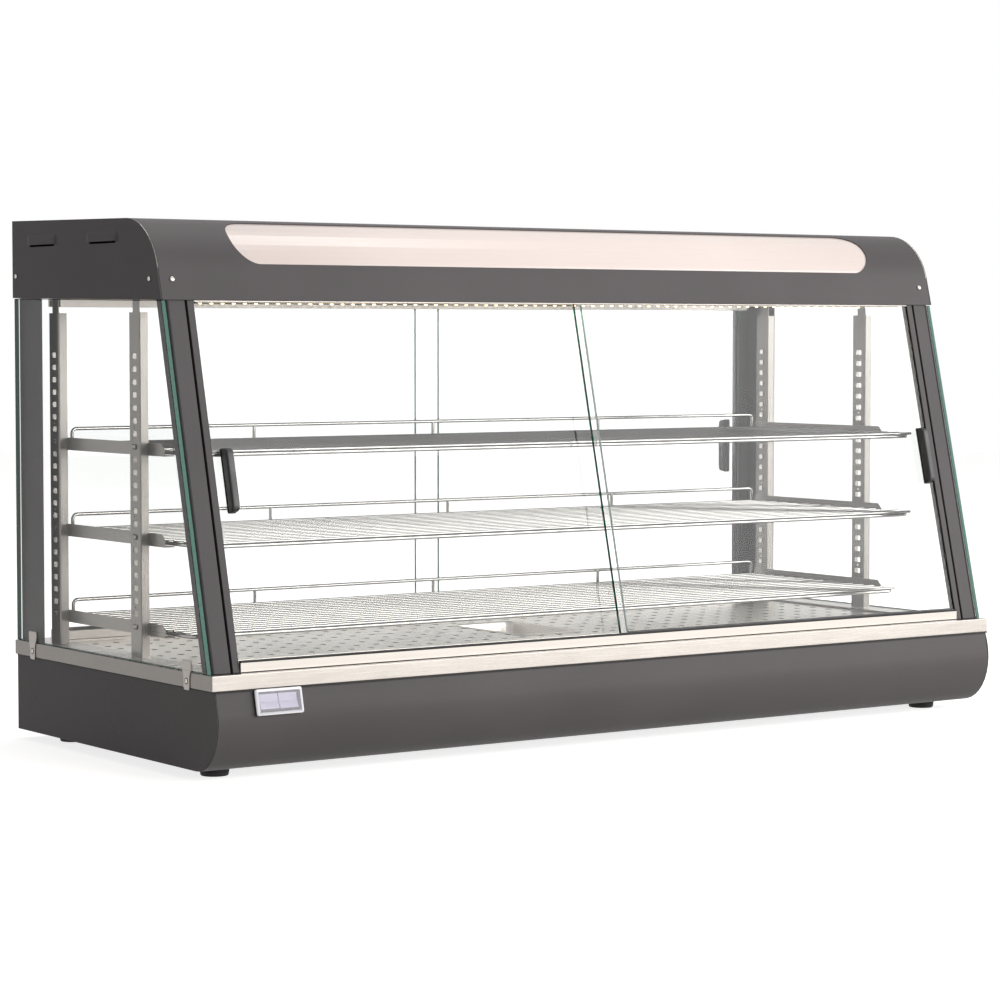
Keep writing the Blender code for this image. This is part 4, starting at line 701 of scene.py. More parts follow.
def canopy_line():
    """The canopy's outer line from its front foot over the bend and roof to the foot of its back, as
    (y, z) points and the length along it of each."""
    turn = np.radians(np.linspace(BEND_DEGREES, 1, BEND_STEPS + 1))
    bend = np.array(BEND_CENTRE) + BEND_RADIUS * np.stack((-np.sin(turn), np.cos(turn)), axis=-1)
    corner = arc((ROOF_END[0] - ROOF_CORNER, ROOF_END[1] - ROOF_CORNER), ROOF_CORNER, 89, 0, 6)
    line = np.concatenate(([CANOPY_FOOT], bend, corner, [BACK_END]))
    steps = np.linalg.norm(np.diff(line, axis=0), axis=1)
    return line, np.concatenate(([0.0], np.cumsum(steps)))


def on_canopy(x, along):
    """Points of the canopy's skin: x across and a length along its outer line."""
    line, lengths = canopy_line()
    return spots(x, np.interp(along, lengths, line[:, 0]), np.interp(along, lengths, line[:, 1]))


def window_outline():
    """The sign window's rounded outline as (x, length along the canopy's line). It is a rounded
    rectangle drawn square to the middle of the bend and carried straight on to the bend."""
    low, high, corner = (-0.492, -0.043), (0.502, 0.0285), 0.033
    flat = rounded(low, high, corner, 24)
    turn = np.arccos(flat[:, 1] / BEND_RADIUS) - math.radians(WINDOW_MIDDLE_DEGREES)
    foot = canopy_line()[1][1]
    return np.stack((flat[:, 0], foot + (math.radians(BEND_DEGREES) - turn) * BEND_RADIUS), axis=-1)


def canopy_sheets():
    """The canopy's skin as two sheets that share their points: rings from the window's outline out to the
    edges of the front and bend, and the roof and back as straight lines across."""
    _line, lengths = canopy_line()
    end = lengths[BEND_STEPS + 1]
    outline = window_outline()
    outer = rounded((-CANOPY_HALF, 0.0), (CANOPY_HALF, end), end / 2, 24, square=True)
    share = np.linspace(0, 1, 9)[:, None, None]
    rings = outline * (1 - share) + outer * share
    front = loft(on_canopy(rings[..., 0], rings[..., 1]), capped=False)
    top = np.unique(np.round(outer[outer[:, 1] > end - 1e-9, 0], 9))
    back = sheet(on_canopy(top[None, :], lengths[BEND_STEPS + 1:, None]))
    return front, back


def hood(low, high, top, foot, face_x, reach):
    """A pressed louvre: a bulge whose reach grows as a quarter sine from its top edge to its open lip, and
    dies away at both ends as the fourth root of one minus the place along it to the eighth power."""
    along = np.linspace(-1, 1, 25)
    drop = np.linspace(0, 1, 9)
    swell = np.clip(1 - along ** 8, 0, None) ** 0.25
    out = reach * np.sin(np.pi / 2 * drop[:, None]) ** 0.8 * swell[None]
    y = (low + high) / 2 + (high - low) / 2 * along
    z = top + (foot - top) * drop
    y, z = np.meshgrid(y, z)
    return sheet(np.stack((face_x + math.copysign(1, face_x) * out, y, z), axis=-1))


def screw_head(centre, direction, radius, rise=1.0):
    """A pan head with a cross recess on a black washer that stands in for the shade round the head (painted
    shade), its heights in shares of its radius times the rise.
    Its rings go out to the rim, up over the dome and in to the recess, whose outline in polar form is the
    nearer reach of two crossed bars, and then down to its floor."""
    sides = 32
    first, second, along = axes_for(direction)
    turn = full_turn(sides)
    cosine = np.maximum(np.abs(np.cos(turn)), 1e-6)
    sine = np.maximum(np.abs(np.sin(turn)), 1e-6)
    bar_half, reach = 0.13 * radius, 0.56 * radius
    cross = np.maximum(np.minimum(reach / cosine, bar_half / sine),
                       np.minimum(reach / sine, bar_half / cosine))
    steps = ((1.0, 0.0), (1.0, 0.22), (0.93, 0.42), (0.8, 0.56), (0.66, 0.62))
    rings = [(np.full(sides, share * radius), height) for share, height in steps]
    rings += [(cross, 0.65), (cross * 0.8, 0.25)]
    way = np.cos(turn)[:, None] * first + np.sin(turn)[:, None] * second
    points = [np.asarray(centre) + along * height * radius * rise + out[:, None] * way
              for out, height in rings]
    # painted shade: a black washer stands in for the shade round the head
    shade_washer = [(radius * 1.45, -0.0001), (radius * 1.45, 0.0002), (radius * 1.38, 0.00035),
              (radius * 0.9, 0.00035)]
    return [(loft(points), "screw"), (turned(shade_washer, centre, direction, sides), "black")]


class CASE_OT_canopy(bpy.types.Operator):
    """Adds the canopy's bent sheet with its sign window, the bright seams that stand in for the highlight on
    the end plates' folded edges (painted highlight), louvres and screws.
    """

    bl_idname = "case.canopy"
    bl_label = "Canopy"

    def execute(self, context):
        """Builds the sheet over the bend, then what sits on its two ends."""
        seam_proud, seam_x, seam_wire, seam_start, past_bend = 0.0007, 0.5986, 0.0011, 0.004, 0.03
        louvres, louvre_top, louvre_foot = ((0.1295, 0.2095), (-0.0295, 0.0505)), 0.6315, 0.6188
        louvre_x, louvre_reach = 0.59995, 0.00165
        end_x, end_screws, end_screw = 0.6, ((-0.106, 0.573), (0.242, 0.581)), 0.0026
        front_screw_x, front_screw_along, front_screw = 0.582, 0.0245, 0.0030
        front_tilt = math.radians(14.85)
        front, back = canopy_sheets()
        make_piece("canopy_sheet", [(front, "coat"), (back, "coat")], "case", ["canopy_shell"],
                   wall=0.0012, facing=(0, -0.2, 1), bevel=0.0003)
        line, lengths = canopy_line()
        bend = line[(lengths > seam_start) & (lengths < lengths[BEND_STEPS + 2] + past_bend)]
        ahead = np.gradient(bend, axis=0)
        ahead /= np.linalg.norm(ahead, axis=1, keepdims=True)
        bend = bend + seam_proud * np.stack((ahead[:, 1], -ahead[:, 0]), axis=-1)
        heads, hoods, seams = [], [], []
        for side in SIDES.values():
            path = np.column_stack((np.full(len(bend), side * seam_x), bend))
            # painted highlight: a bright steel wire along each end's bend stands in for the light on the
            # folded edge
            seams.append((wire(path, seam_wire, (1, 0, 0), 8), "seam"))
            for low, high in louvres:
                skin = hood(low, high, louvre_top, louvre_foot, side * louvre_x, louvre_reach)
                hoods.append((skin, "coat"))
            for y, z in end_screws:
                heads += screw_head((side * end_x, y, z), (side, 0, 0), end_screw)
            foot = on_canopy(np.array(side * front_screw_x), np.array(front_screw_along))
            heads += screw_head(foot, (0.0, -math.cos(front_tilt), math.sin(front_tilt)), front_screw)
        make_piece("canopy_seams", seams, "case")
        make_piece("canopy_louvres", hoods, "case", wall=0.0008)
        make_piece("canopy_screws", heads, "case")
        return {"FINISHED"}


# Base front, feet and clips

NOSE_CENTRE = (-0.205, 0.073)
NOSE_DEPTH = 0.049
NOSE_DROP = 0.0611
FACE_TOP = 0.1065
FACE_BOW = 0.007
FACE_BOW_HEIGHT = 0.0338
SWITCH_X = -0.51675


def nose_line():
    """The base front's outer line as (y, z): down a shallow curve from the rim, then a quarter of an
    ellipse inwards to the underside."""
    y, low = NOSE_CENTRE
    z = np.linspace(FACE_TOP, low, 9)
    face = np.stack((y - NOSE_DEPTH + FACE_BOW * ((z - low) / FACE_BOW_HEIGHT) ** 2, z), axis=-1)
    turn = np.radians(np.linspace(90, 0, 31))[1:]
    nose = np.stack((y - NOSE_DEPTH * np.sin(turn), low - NOSE_DROP * np.cos(turn)), axis=-1)
    return np.concatenate((face, nose))


class CASE_OT_base_front(bpy.types.Operator):
    """Adds the rolled front sheet of the base, with the opening for the switches."""

    bl_idname = "case.base_front"
    bl_label = "Base front"

    def execute(self, context):
        """Builds the sheet as a grid without the cell that lies behind the switch housing."""
        half, opening_half, opening_heights = 0.5957, 0.0262, (0.1027, 0.0795)
        line = nose_line()
        columns = np.array((-half, -0.55, SWITCH_X - opening_half, SWITCH_X + opening_half,
                            -0.3, 0.0, 0.3, half))
        opening = [[np.interp(z, line[8::-1, 1], line[8::-1, 0]), z] for z in opening_heights]
        rows = np.concatenate((line[:1], opening, line[8:]))
        points, faces = sheet(spots(columns[None, :], rows[:, 0, None], rows[:, 1, None]))
        cells = faces[0].reshape(len(rows) - 1, len(columns) - 1, 4)
        keep = np.ones(cells.shape[:2], bool)
        keep[1, 2] = False
        make_piece("base_front_sheet", [((points, [cells[keep]]), "coat")], "case", ["base_fascia"],
                   wall=0.0015, facing=(0, -1, 0), bevel=0.0003)
        return {"FINISHED"}


CORNERS = ("front_left", "front_right", "rear_left", "rear_right")


class CASE_OT_feet(bpy.types.Operator):
    """Adds the four tapered rubber feet and the ribbed cable gland."""

    bl_idname = "case.feet"
    bl_label = "Feet and cable gland"

    def execute(self, context):
        """Turns each foot and the gland about its axis."""
        for name in CORNERS:
            low, high = corners("foot_" + name)
            x, y, _z = (low + high) / 2
            tall = high[2]
            profile = [(0.0155, 0.0), (0.0163, 0.0008), (0.0172, 0.0052), (0.0168, 0.0056), (0.0168, 0.0064),
                       (0.0175, 0.0068), (0.0184, tall - 0.0012), (0.0188, tall - 0.0005), (0.0188, tall)]
            foot = turned(profile, (x, y, 0.0), UP, 48)
            make_piece("rubber_foot_" + name, [(foot, "rubber")], "case", ["foot_" + name])
        low, high = corners("cable_gland")
        profile = [(0.0045, 0.0), (0.0095, 0.0), (0.0095, 0.0138), (0.0128, 0.0142), (0.0130, 0.0150),
                   (0.0130, 0.0164), (0.0124, 0.0168), (0.0100, 0.0168), (0.0098, 0.0180), (0.0088, 0.0184),
                   (0.0088, 0.0190), (0.0095, 0.0194), (0.0093, 0.0206), (0.0082, 0.0210), (0.0080, 0.0222),
                   (0.0060, 0.0223), (0.0045, 0.0215), (0.0045, 0.0)]
        x, _y, z = (low + high) / 2
        points, faces = turned(profile, (x, low[1], z), (0, 1, 0), 36)
        make_piece("ribbed_cable_gland", [((points, faces[:1]), "black")], "case", ["cable_gland"])
        return {"FINISHED"}


class CASE_OT_clips(bpy.types.Operator):
    """Adds the four pressed clips that hold the side panes to the rim, each with its screw."""

    bl_idname = "case.clips"
    bl_label = "Glass clips"

    def execute(self, context):
        """Carries each strip down its line: on the glass, out over the rim, and in at its lip. Its half
        width goes from the wide head to the narrow foot as a smooth step and is rounded at both ends."""
        foot_half, head_more, step_foot, step_tall = 0.0066, 0.0036, 0.118, 0.012
        end_round, head_end, foot_end = 0.0022, 0.0016, 0.0040
        screw_x, screw_z, screw, screw_rise = 0.6010, 0.1145, 0.0027, 0.4
        line = np.array(((0.13900, 0.60055), (0.13820, 0.60075), (0.13000, 0.60080), (0.12720, 0.60085),
                         (0.12620, 0.60110), (0.12480, 0.60110), (0.12380, 0.60110), (0.10800, 0.60110),
                         (0.10620, 0.60110), (0.10480, 0.60090), (0.10400, 0.60060)))
        z = np.interp(np.linspace(0, 1, 41), np.linspace(0, 1, len(line)), line[:, 0])
        x = np.interp(-z, -line[:, 0], line[:, 1])
        step = np.clip((z - step_foot) / step_tall, 0, 1)
        ends = np.minimum((z.max() - z) / head_end, (z - z.min()) / foot_end).clip(0, 1)
        half = foot_half + head_more * step * step * (3 - 2 * step)
        half -= end_round * (1 - np.sqrt(1 - (1 - ends) ** 2))
        for name in CORNERS:
            low, high = corners("glass_clip_" + name)
            side = math.copysign(1, low[0])
            middle = (low[1] + high[1]) / 2
            y = middle + half[:, None] * np.linspace(-1, 1, 7)
            strip = sheet(spots(side * x[:, None], y, z[:, None]))
            make_piece("glass_clip_strip_" + name, [(strip, "clip")], "case", ["glass_clip_" + name],
                       wall=0.0011, facing=(side, 0, 0), bevel=0.0002)
            head = screw_head((side * screw_x, middle, screw_z), (side, 0, 0), screw, screw_rise)
            make_piece("glass_clip_screw_" + name, head, "case")
        return {"FINISHED"}


# Floor, tray and lamps

ROWS_MIDDLE = 0.038
TRAY_GAP_X = 0.0485
TRAY_GAP_Y = 0.081


def hole_lines(middle, pitch, numbers, gap_middle, gap, low, high, margin):
    """Places of the lines between holes along one axis: at each half pitch from a middle, moved to the
    tray's opening where they come nearest to its two sides, and kept off the sheet's two edges."""
    lines = middle + (numbers - 0.5) * pitch
    for side in (gap_middle - gap, gap_middle + gap):
        lines[np.abs(lines - side).argmin()] = side
    lines = lines[(lines > low + margin) & (lines < high - margin)]
    return np.concatenate(([low], lines, [high]))


def perforated_skin(low, high, middle):
    """A flat sheet of cells with a round hole each, without the cells over the tray's opening. A cell is a
    ring of eight faces, from its corners and a point on each of its sides to the hole's outline."""
    sizes = settings("case_sizes")
    columns = hole_lines(middle[0], sizes.hole_pitch, np.arange(-19, 20), middle[0], TRAY_GAP_X,
                         low[0], high[0], 0.012)
    rows = hole_lines(ROWS_MIDDLE, sizes.hole_row, np.arange(-6, 6), middle[1], TRAY_GAP_Y,
                      low[1], high[1], 0.025)
    x0, y0 = np.meshgrid(columns[:-1], rows[:-1])
    x1, y1 = np.meshgrid(columns[1:], rows[1:])
    over_tray = ((np.abs((x0 + x1) / 2 - middle[0]) < TRAY_GAP_X)
                 & (np.abs((y0 + y1) / 2 - middle[1]) < TRAY_GAP_Y))
    x0, y0, x1, y1 = (part[~over_tray][:, None] for part in (x0, y0, x1, y1))
    hole_x = middle[0] + np.round(((x0 + x1) / 2 - middle[0]) / sizes.hole_pitch) * sizes.hole_pitch
    hole_y = ROWS_MIDDLE + np.round(((y0 + y1) / 2 - ROWS_MIDDLE) / sizes.hole_row) * sizes.hole_row
    unit = np.array(((1, 0), (1, 1), (0, 1), (-1, 1), (-1, 0), (-1, -1), (0, -1), (1, -1)))
    outer = np.stack((np.choose(unit[None, :, 0] + 1, (x0, hole_x, x1)),
                      np.choose(unit[None, :, 1] + 1, (y0, hole_y, y1))), axis=-1)
    centre = np.concatenate((hole_x, hole_y), axis=1)
    holes = centre[:, None] + unit / np.linalg.norm(unit, axis=1, keepdims=True) * sizes.hole / 2
    flat = np.stack((outer, holes), axis=1)
    faces = np.arange(len(centre))[:, None, None] * 16 + grid_faces(2, 8, wrap=True)[None]
    return spots(flat[..., 0], flat[..., 1], high[2]).reshape(-1, 3), [faces.reshape(-1, 4)]


class CASE_OT_floor(bpy.types.Operator):
    """Adds the perforated floor and the pressed water tray."""

    bl_idname = "case.floor"
    bl_label = "Perforated floor and tray"

    def execute(self, context):
        """Builds the floor around the tray's opening, with the walls of its holes painted near black as
        shade, and lofts the tray.
        """
        low, high = corners("heated_floor")
        tray_low, tray_high = corners("water_tray")
        skin = perforated_skin(low, high, (tray_low + tray_high) / 2)
        made = make_piece("perforated_floor", [(skin, "deck")], "case", ["heated_floor"],
                          wall=high[2] - low[2], facing=(0, 0, 1))
        # the walls of the holes and the sheet's edges take the near black finish: painted shade
        made.data.materials.append(FINISHES["punched"])
        made.modifiers["wall"].material_offset_rim = 1
        make_piece("pressed_tray", [(tray_skin(tray_low, tray_high), "deck")], "tray", ["water_tray"])
        return {"FINISHED"}


def tray_skin(low, high):
    """A pressed tray with a wall: rounded rings go from the middle of its floor out, up the wall, over a
    rolled flange and back down the outside to the middle of its underside."""
    flange, middle = 0.0046, 0.035
    top, bottom = high[2], low[2]
    floor = bottom + 0.001
    steps = ((middle, floor, 0.012), (flange + 0.0062, floor, 0.009),
             (flange + 0.0032, floor + 0.0012, 0.0105), (flange + 0.0022, bottom + 0.0045, 0.011),
             (flange + 0.0014, top - 0.003, 0.012),
             (flange + 0.0008, top - 0.0012, 0.0125), (flange - 0.0003, top - 0.0003, 0.0135),
             (flange - 0.002, top, 0.014), (0.0012, top - 0.0001, 0.0155), (0.0003, top - 0.0004, 0.016),
             (0.0, top - 0.0009, 0.016), (0.0006, top - 0.00125, 0.0155),
             (flange - 0.0005, top - 0.00125, 0.013),
             (flange + 0.0004, bottom + 0.0045, 0.0115), (flange + 0.0022, bottom + 0.0012, 0.011),
             (flange + 0.0056, bottom, 0.009), (middle, bottom, 0.012))
    rings = []
    for inset, height, corner in steps:
        ring = rounded(low[:2] + inset, high[:2] - inset, corner, 8)
        rings.append(spots(ring[:, 0], ring[:, 1], height))
    return loft(rings)


class CASE_OT_lamps(bpy.types.Operator):
    """Adds the lamp board with its row of small domed lamps."""

    bl_idname = "case.lamps"
    bl_label = "Lamp row"

    def execute(self, context):
        """Lays out the board as a rounded bar, and a dome at each pitch below it."""
        margin, board_foot, dome_foot, dome_radius, dome_tall = 0.012, 0.0004, 0.0003, 0.0022, 0.0016
        low, high = corners("lamp_strip")
        pitch = settings("case_sizes").lamp_pitch
        board = bar((low[0], high[0]), rounded((low[1], low[2] + board_foot), high[1:], 0.0003, 2))
        turn = np.radians(np.array((0, 30, 60)))
        profile = np.column_stack((dome_radius * np.cos(turn), dome_tall * np.sin(turn)))
        count = int((high[0] - low[0] - margin) / pitch)
        middle = (low[1] + high[1]) / 2
        domes = [(turned(profile, (x, middle, low[2] + dome_foot), -UP, 12), "lamp")
                 for x in (np.arange(count + 1) - count / 2) * pitch]
        make_piece("lamp_board", [(board, "strip")] + domes, "case", ["lamp_strip"])
        return {"FINISHED"}


# Shelves, uprights, pulls, runners, beads and switch cover

SHELF_SHIFTS = {"top": -0.009, "middle": 0.015, "bottom": -0.009}


POST_PITCH = 0.279
RAIL_WIRE = 0.0045
RAIL_Y = 0.19045
RAIL_HALF = 0.55025
RAIL_BEND = 0.006


def shelf_wires(low, high, shift):
    """The skins of a shelf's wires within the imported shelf's box: the bent frame, the deck wires, three
    wires across below them, and the rear rail with its three posts. The shift moves the middle one of
    the three to the right of the case's middle, and the others with it."""
    sizes = settings("case_sizes")
    thick, deck_wires, overlap, margins = sizes.frame_wire, 15, 0.002, (0.0022, 0.0085)
    middle, foot, top = low[2] + 0.0025, low[2] + 0.0044, high[2] - RAIL_WIRE / 2
    deck = foot + 0.0019
    rows = np.linspace(low[1] + margins[0], high[1] - margins[1], deck_wires)
    (left, front, _z), (right, rear, _z) = low + thick / 2, high - thick / 2
    line = rounded((left, front), (right, rear), sizes.frame_corner, 7)
    wires = [wire(spots(line[:, 0], line[:, 1], middle), thick, UP, 14, closed=True)]
    wires += [wire(((left - overlap, y, deck), (right + overlap, y, deck)), sizes.deck_wire, UP, 12)
              for y in rows]
    posts = shift + np.array((-POST_PITCH, 0.0, POST_PITCH))
    wires += [wire(((x, front, middle), (x, rear, middle)), thick, UP, 14) for x in posts]
    bend_x, bend_z = RAIL_HALF - RAIL_BEND, top - RAIL_BEND
    line = np.concatenate(([(-RAIL_HALF, foot)], arc((-bend_x, bend_z), RAIL_BEND, 180, 90, 6),
                           arc((bend_x, bend_z), RAIL_BEND, 90, 0, 6), [(RAIL_HALF, foot)]))
    wires.append(wire(spots(line[:, 0], RAIL_Y, line[:, 1]), RAIL_WIRE, (0, 1, 0), 14))
    return wires + [wire(((x, RAIL_Y, foot), (x, RAIL_Y, top)), RAIL_WIRE, (0, 1, 0), 12) for x in posts]


class CASE_OT_shelves(bpy.types.Operator):
    """Adds the three chromed wire shelves."""

    bl_idname = "case.shelves"
    bl_label = "Wire shelves"

    def execute(self, context):
        """Builds each shelf from its wires."""
        for name, shift in SHELF_SHIFTS.items():
            skins = [(skin, "chrome") for skin in shelf_wires(*corners("shelf_" + name), shift)]
            make_piece("wire_shelf_" + name, skins, "case", ["shelf_" + name], sharp=50)
        return {"FINISHED"}


SLOT_TOP = 0.483
SLOT_PITCH = 0.0153
SLOTS = 22
SLOTS_PER_HOLE = 7
UPRIGHT_TOP = 0.535
UPRIGHT_FOOT = 0.125
UPRIGHT_HALF = 0.013
UPRIGHT_WALL = 0.0012
TONGUE_TOP = 0.5527
UPRIGHT_WEBS = {"left": -0.5767, "right": 0.5652}
UPRIGHT_MIDDLES = {"front": -0.024, "rear": 0.186}


def around(middle, half_width, half_height, corner):
    """The outline of a rounded rectangle about a point on the middle line of a web."""
    return rounded((-half_width, middle - half_height), (half_width, middle + half_height), corner, 4)


def upright_sheet(web, middle):
    """The slotted channel as an open sheet, with its web at x = web and its flanges towards the right. Cells
    with a rounded slot and plain or holed cells follow each other down the web; the bends and flanges are
    a profile carried past the heights of all their points."""
    bend, tip, slot_cell, hole, hole_shift = 0.0016, 0.0115, 0.00465, 0.0016, 0.00232
    flat = UPRIGHT_HALF - bend
    skins, heights = [], [UPRIGHT_TOP, UPRIGHT_FOOT]

    def cell(low, high, opening=None):
        """One cell of the web, from its rectangle to its opening's outline, or closed by one face."""
        outer = rounded((-flat, low), (flat, high), min((high - low) / 2, flat), 4, square=True)
        heights.extend(outer[:, 1])
        if opening is None:
            skins.append((spots(web, middle + outer[:, 0], outer[:, 1]), [np.arange(len(outer))[None]]))
        else:
            rings = [spots(web, middle + loop[:, 0], loop[:, 1]) for loop in (outer, opening)]
            skins.append(loft(rings, capped=False))

    last = UPRIGHT_TOP
    for row in range(SLOTS):
        z = SLOT_TOP - row * SLOT_PITCH
        holed = row % SLOTS_PER_HOLE == SLOTS_PER_HOLE - 1
        cell(z + slot_cell, last, around((last + z) / 2 + hole_shift, hole, hole, hole) if holed else None)
        cell(z - slot_cell, z + slot_cell, around(z, 0.0055, 0.00325, 0.0013))
        last = z - slot_cell
    cell(UPRIGHT_FOOT, last)

    corner = arc((bend, UPRIGHT_HALF - bend), bend, 180, 90, 3)
    profile = np.concatenate((corner, [(tip, UPRIGHT_HALF)]))
    heights = np.unique(np.round(heights, 7))[:, None]
    skins += [sheet(spots(web + profile[:, 0], middle + edge * profile[:, 1], heights)) for edge in (-1, 1)]
    return joined(skins)


class CASE_OT_uprights(bpy.types.Operator):
    """Adds the four slotted uprights with their tongues."""

    bl_idname = "case.uprights"
    bl_label = "Slotted uprights"

    def execute(self, context):
        """Builds each channel as a sheet with a wall, and its tongue as a small plate."""
        for word, web in UPRIGHT_WEBS.items():
            for place, middle in UPRIGHT_MIDDLES.items():
                name = place + "_" + word
                make_piece("slotted_upright_" + name, [(upright_sheet(web, middle), "rail")], "case",
                           ["upright_" + name], sharp=12, wall=UPRIGHT_WALL, facing=(-1, 0, 0))
                tongue = rounded((middle - UPRIGHT_HALF, UPRIGHT_TOP), (middle + 0.003, TONGUE_TOP),
                                 0.001, 3)
                skin = bar((web, web + UPRIGHT_WALL), tongue)
                make_piece("upright_tongue_" + name, [(skin, "rail")], "case")
        return {"FINISHED"}


def pull_skins(width, height, reach):
    """A door pull in (across, up, out): a bar whose section is a rounded rectangle and whose outer face and
    ends are drawn in as a superellipse, on a thin base plate."""
    base, plate_corner, arris = 0.0014, 0.0022, 0.0003
    turn = np.linspace(-np.pi / 2, np.pi / 2, 25)
    up = np.sin(turn) * (height / 2 - 0.0008)
    swell = np.clip(1 - np.abs(np.sin(turn)) ** 14, 0.002, None) ** 0.25
    rings = []
    for place, share in zip(up, swell):
        half = (width / 2 - 0.0007) * (0.72 + 0.28 * share)
        out = base + (reach - base) * share
        section = rounded((-half, 0.0008), (half, out), min(0.0024, half * 0.6), 5)
        rings.append(spots(section[:, 0], place, section[:, 1]))
    plate = rounded((-width / 2, -height / 2), (width / 2, height / 2), plate_corner, 5)
    small = inset_outline(plate, arris)
    steps = ((small, 0.0), (plate, arris), (plate, 0.0009), (small, 0.0013))
    return [loft(rings), loft([spots(line[:, 0], line[:, 1], out) for line, out in steps])]


class CASE_OT_pulls(bpy.types.Operator):
    """Adds the four black door pulls."""

    bl_idname = "case.pulls"
    bl_label = "Door pulls"

    def execute(self, context):
        """Places each pull's skins on its pane, square to the glass."""
        into_glass, drop = 0.0003, 0.0008
        skins = pull_skins(0.0115, 0.0770, 0.0140)
        for side in SIDES:
            x, _y, z = sum(corners("front_pull_" + side)) / 2
            root, up = FRONT_PANE_DEPTHS[side] - into_glass, lean_share(z) - drop
            placed = [((on_lean(x + points[:, 0], up + points[:, 1], root - points[:, 2]), faces), "black")
                      for points, faces in skins]
            make_piece("front_door_pull_" + side, placed, "front_" + side + "_door", ["front_pull_" + side])
            low, high = corners("rear_pull_" + side)
            centre = np.array(((low[0] + high[0]) / 2, low[1], (low[2] + high[2]) / 2))
            placed = [((centre + points[:, [0, 2, 1]], faces), "black") for points, faces in skins]
            make_piece("rear_door_pull_" + side, placed, "rear_" + side + "_door", ["rear_pull_" + side])
        return {"FINISHED"}


class CASE_OT_door_shoes(bpy.types.Operator):
    """Adds the black runner along the foot of each sliding pane, a black strip on top of the front track,
    and black beads along the foot of the front track, under the rim and at the front edges of the side
    panes, which stand in for the shade in those gaps (painted shadow lines)."""

    bl_idname = "case.door_shoes"
    bl_label = "Door runners and beads"

    def execute(self, context):
        """Carries a rounded section along each pane, just above its track, and the strip and the painted
        shadow beads along their lines.
        """
        foot, tall, proud, inset, corner = TRACK_TOP + 0.0003, 0.0036, 0.0006, 0.0125, 0.0008
        start = lean_share(foot) + 0.0007
        for side in SIDES:
            low, high = corners("front_pane_" + side)
            near = FRONT_PANE_DEPTHS[side] - proud
            ring = rounded((start, near), (start + tall, near + FRONT_PANE_WALL + 2 * proud), corner, 4)
            skin = loft([on_lean(x, ring[:, 0], ring[:, 1]) for x in (low[0] + inset, high[0] - inset)])
            make_piece("front_door_runner_" + side, [(skin, "black")], "front_" + side + "_door")
            low, high = corners("rear_pane_" + side)
            ring = rounded((low[1] - proud, foot), (high[1] + proud, foot + tall), corner, 4)
            skin = bar((low[0] + inset, high[0] - inset), ring)
            make_piece("rear_door_runner_" + side, [(skin, "black")], "rear_" + side + "_door")

        thin, thick, rim_half, side_x = 0.0014, 0.0042, np.array((0.5992, 0.2502)), 0.5905
        low, high = corners("front_track")
        ends = (low[0], high[0])
        # painted shadow: the thin black bead under the track stands in for the shade of the gap between
        # track and rim
        lower = wire([(x, low[1] - 0.0001, RIM_TOP + 0.0003) for x in ends], thin, UP, 10)
        seal = rounded((low[1] + 0.0002, TRACK_TOP - 0.0001), (low[1] + 0.0042, TRACK_TOP + 0.0027),
                       0.001, 4)
        make_piece("track_sealing_bead", [(lower, "rubber"), (bar(ends, seal), "rubber")], "case")
        # painted shadow: a black bead under the rim's edge stands in for its contact shadow
        ring = rounded(-rim_half, rim_half, 0.003, 4)
        bead = wire(spots(ring[:, 0], ring[:, 1], RIM_BOTTOM - 0.0005), thin, UP, 10, closed=True)
        make_piece("rim_sealing_bead", [(bead, "rubber")], "case")
        for word, side in SIDES.items():
            # painted shadow: a black bead at each side pane's front edge stands in for the shade between
            # glass and post
            path = on_lean(side * side_x, np.array((0.001, LEAN_LENGTH - 0.001)), 0.0012)
            make_piece("glazing_bead_" + word, [(wire(path, thick, LEAN_OUT, 12), "rubber")], "case")
        return {"FINISHED"}


class CASE_OT_switch_cover(bpy.types.Operator):
    """Adds the clear splash cover over the two rockers."""

    bl_idname = "case.switch_cover"
    bl_label = "Switch cover"

    def execute(self, context):
        """Lofts rounded rings up the outside, over the bevelled face, and down the inside."""
        origin = np.array((SWITCH_X, -0.25055, 0.091))
        half = np.array((0.0305, 0.015))
        lean = math.radians(12.6)
        near, far, wall = -0.0033, -0.0079, 0.0009
        steps = ((0.0052, far + wall, 0.0010), (0.0031, far + wall, 0.0010), (0.0010, far + 0.0031, 0.0018),
                 (0.0010, near, 0.0018), (0.0, near, 0.0024), (0.0, far + 0.0024, 0.0024),
                 (0.0003, far + 0.0017, 0.0022), (0.0021, far + 0.0002, 0.0012), (0.0026, far, 0.0010),
                 (0.0060, far, 0.0008))
        rings = []
        for inset, y, corner in steps:
            across, up = rounded(inset - half, half - inset, corner, 4).T
            rings.append(origin + spots(across, y * math.cos(lean) + up * math.sin(lean),
                                        up * math.cos(lean) - y * math.sin(lean)))
        make_piece("clear_switch_cover", [(loft(rings), "cover")], "case", ["switch_cover"])
        return {"FINISHED"}


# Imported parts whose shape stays

# for each finish: the starts of the parts' names, and the width of the rounds on their edges in millimetres
KEPT_PARTS = {
    "coat": {"base_housing": 1.0, "front_post": 0.8, "rear_post": 0.4, "canopy_end": 0.5},
    "rim": {"rim": 0.9},
    "track": {"front_track": 0.25, "rear_track": 0.25, "front_head_track": 0.2, "rear_head_track": 0.2,
              "ceiling_panel": 0.2, "heating_element": 0.2},
    "bracket": {"bracket": 0.35},
    "sign": {"sign_diffuser": 0.3},
    "black": {"switch_housing": 0.4, "thermostat": 0.4, "lamp_driver": 0.6},
    "rocker": {"rocker": 0.6},
    "ceramic": {"terminal_block": 0.5},
}


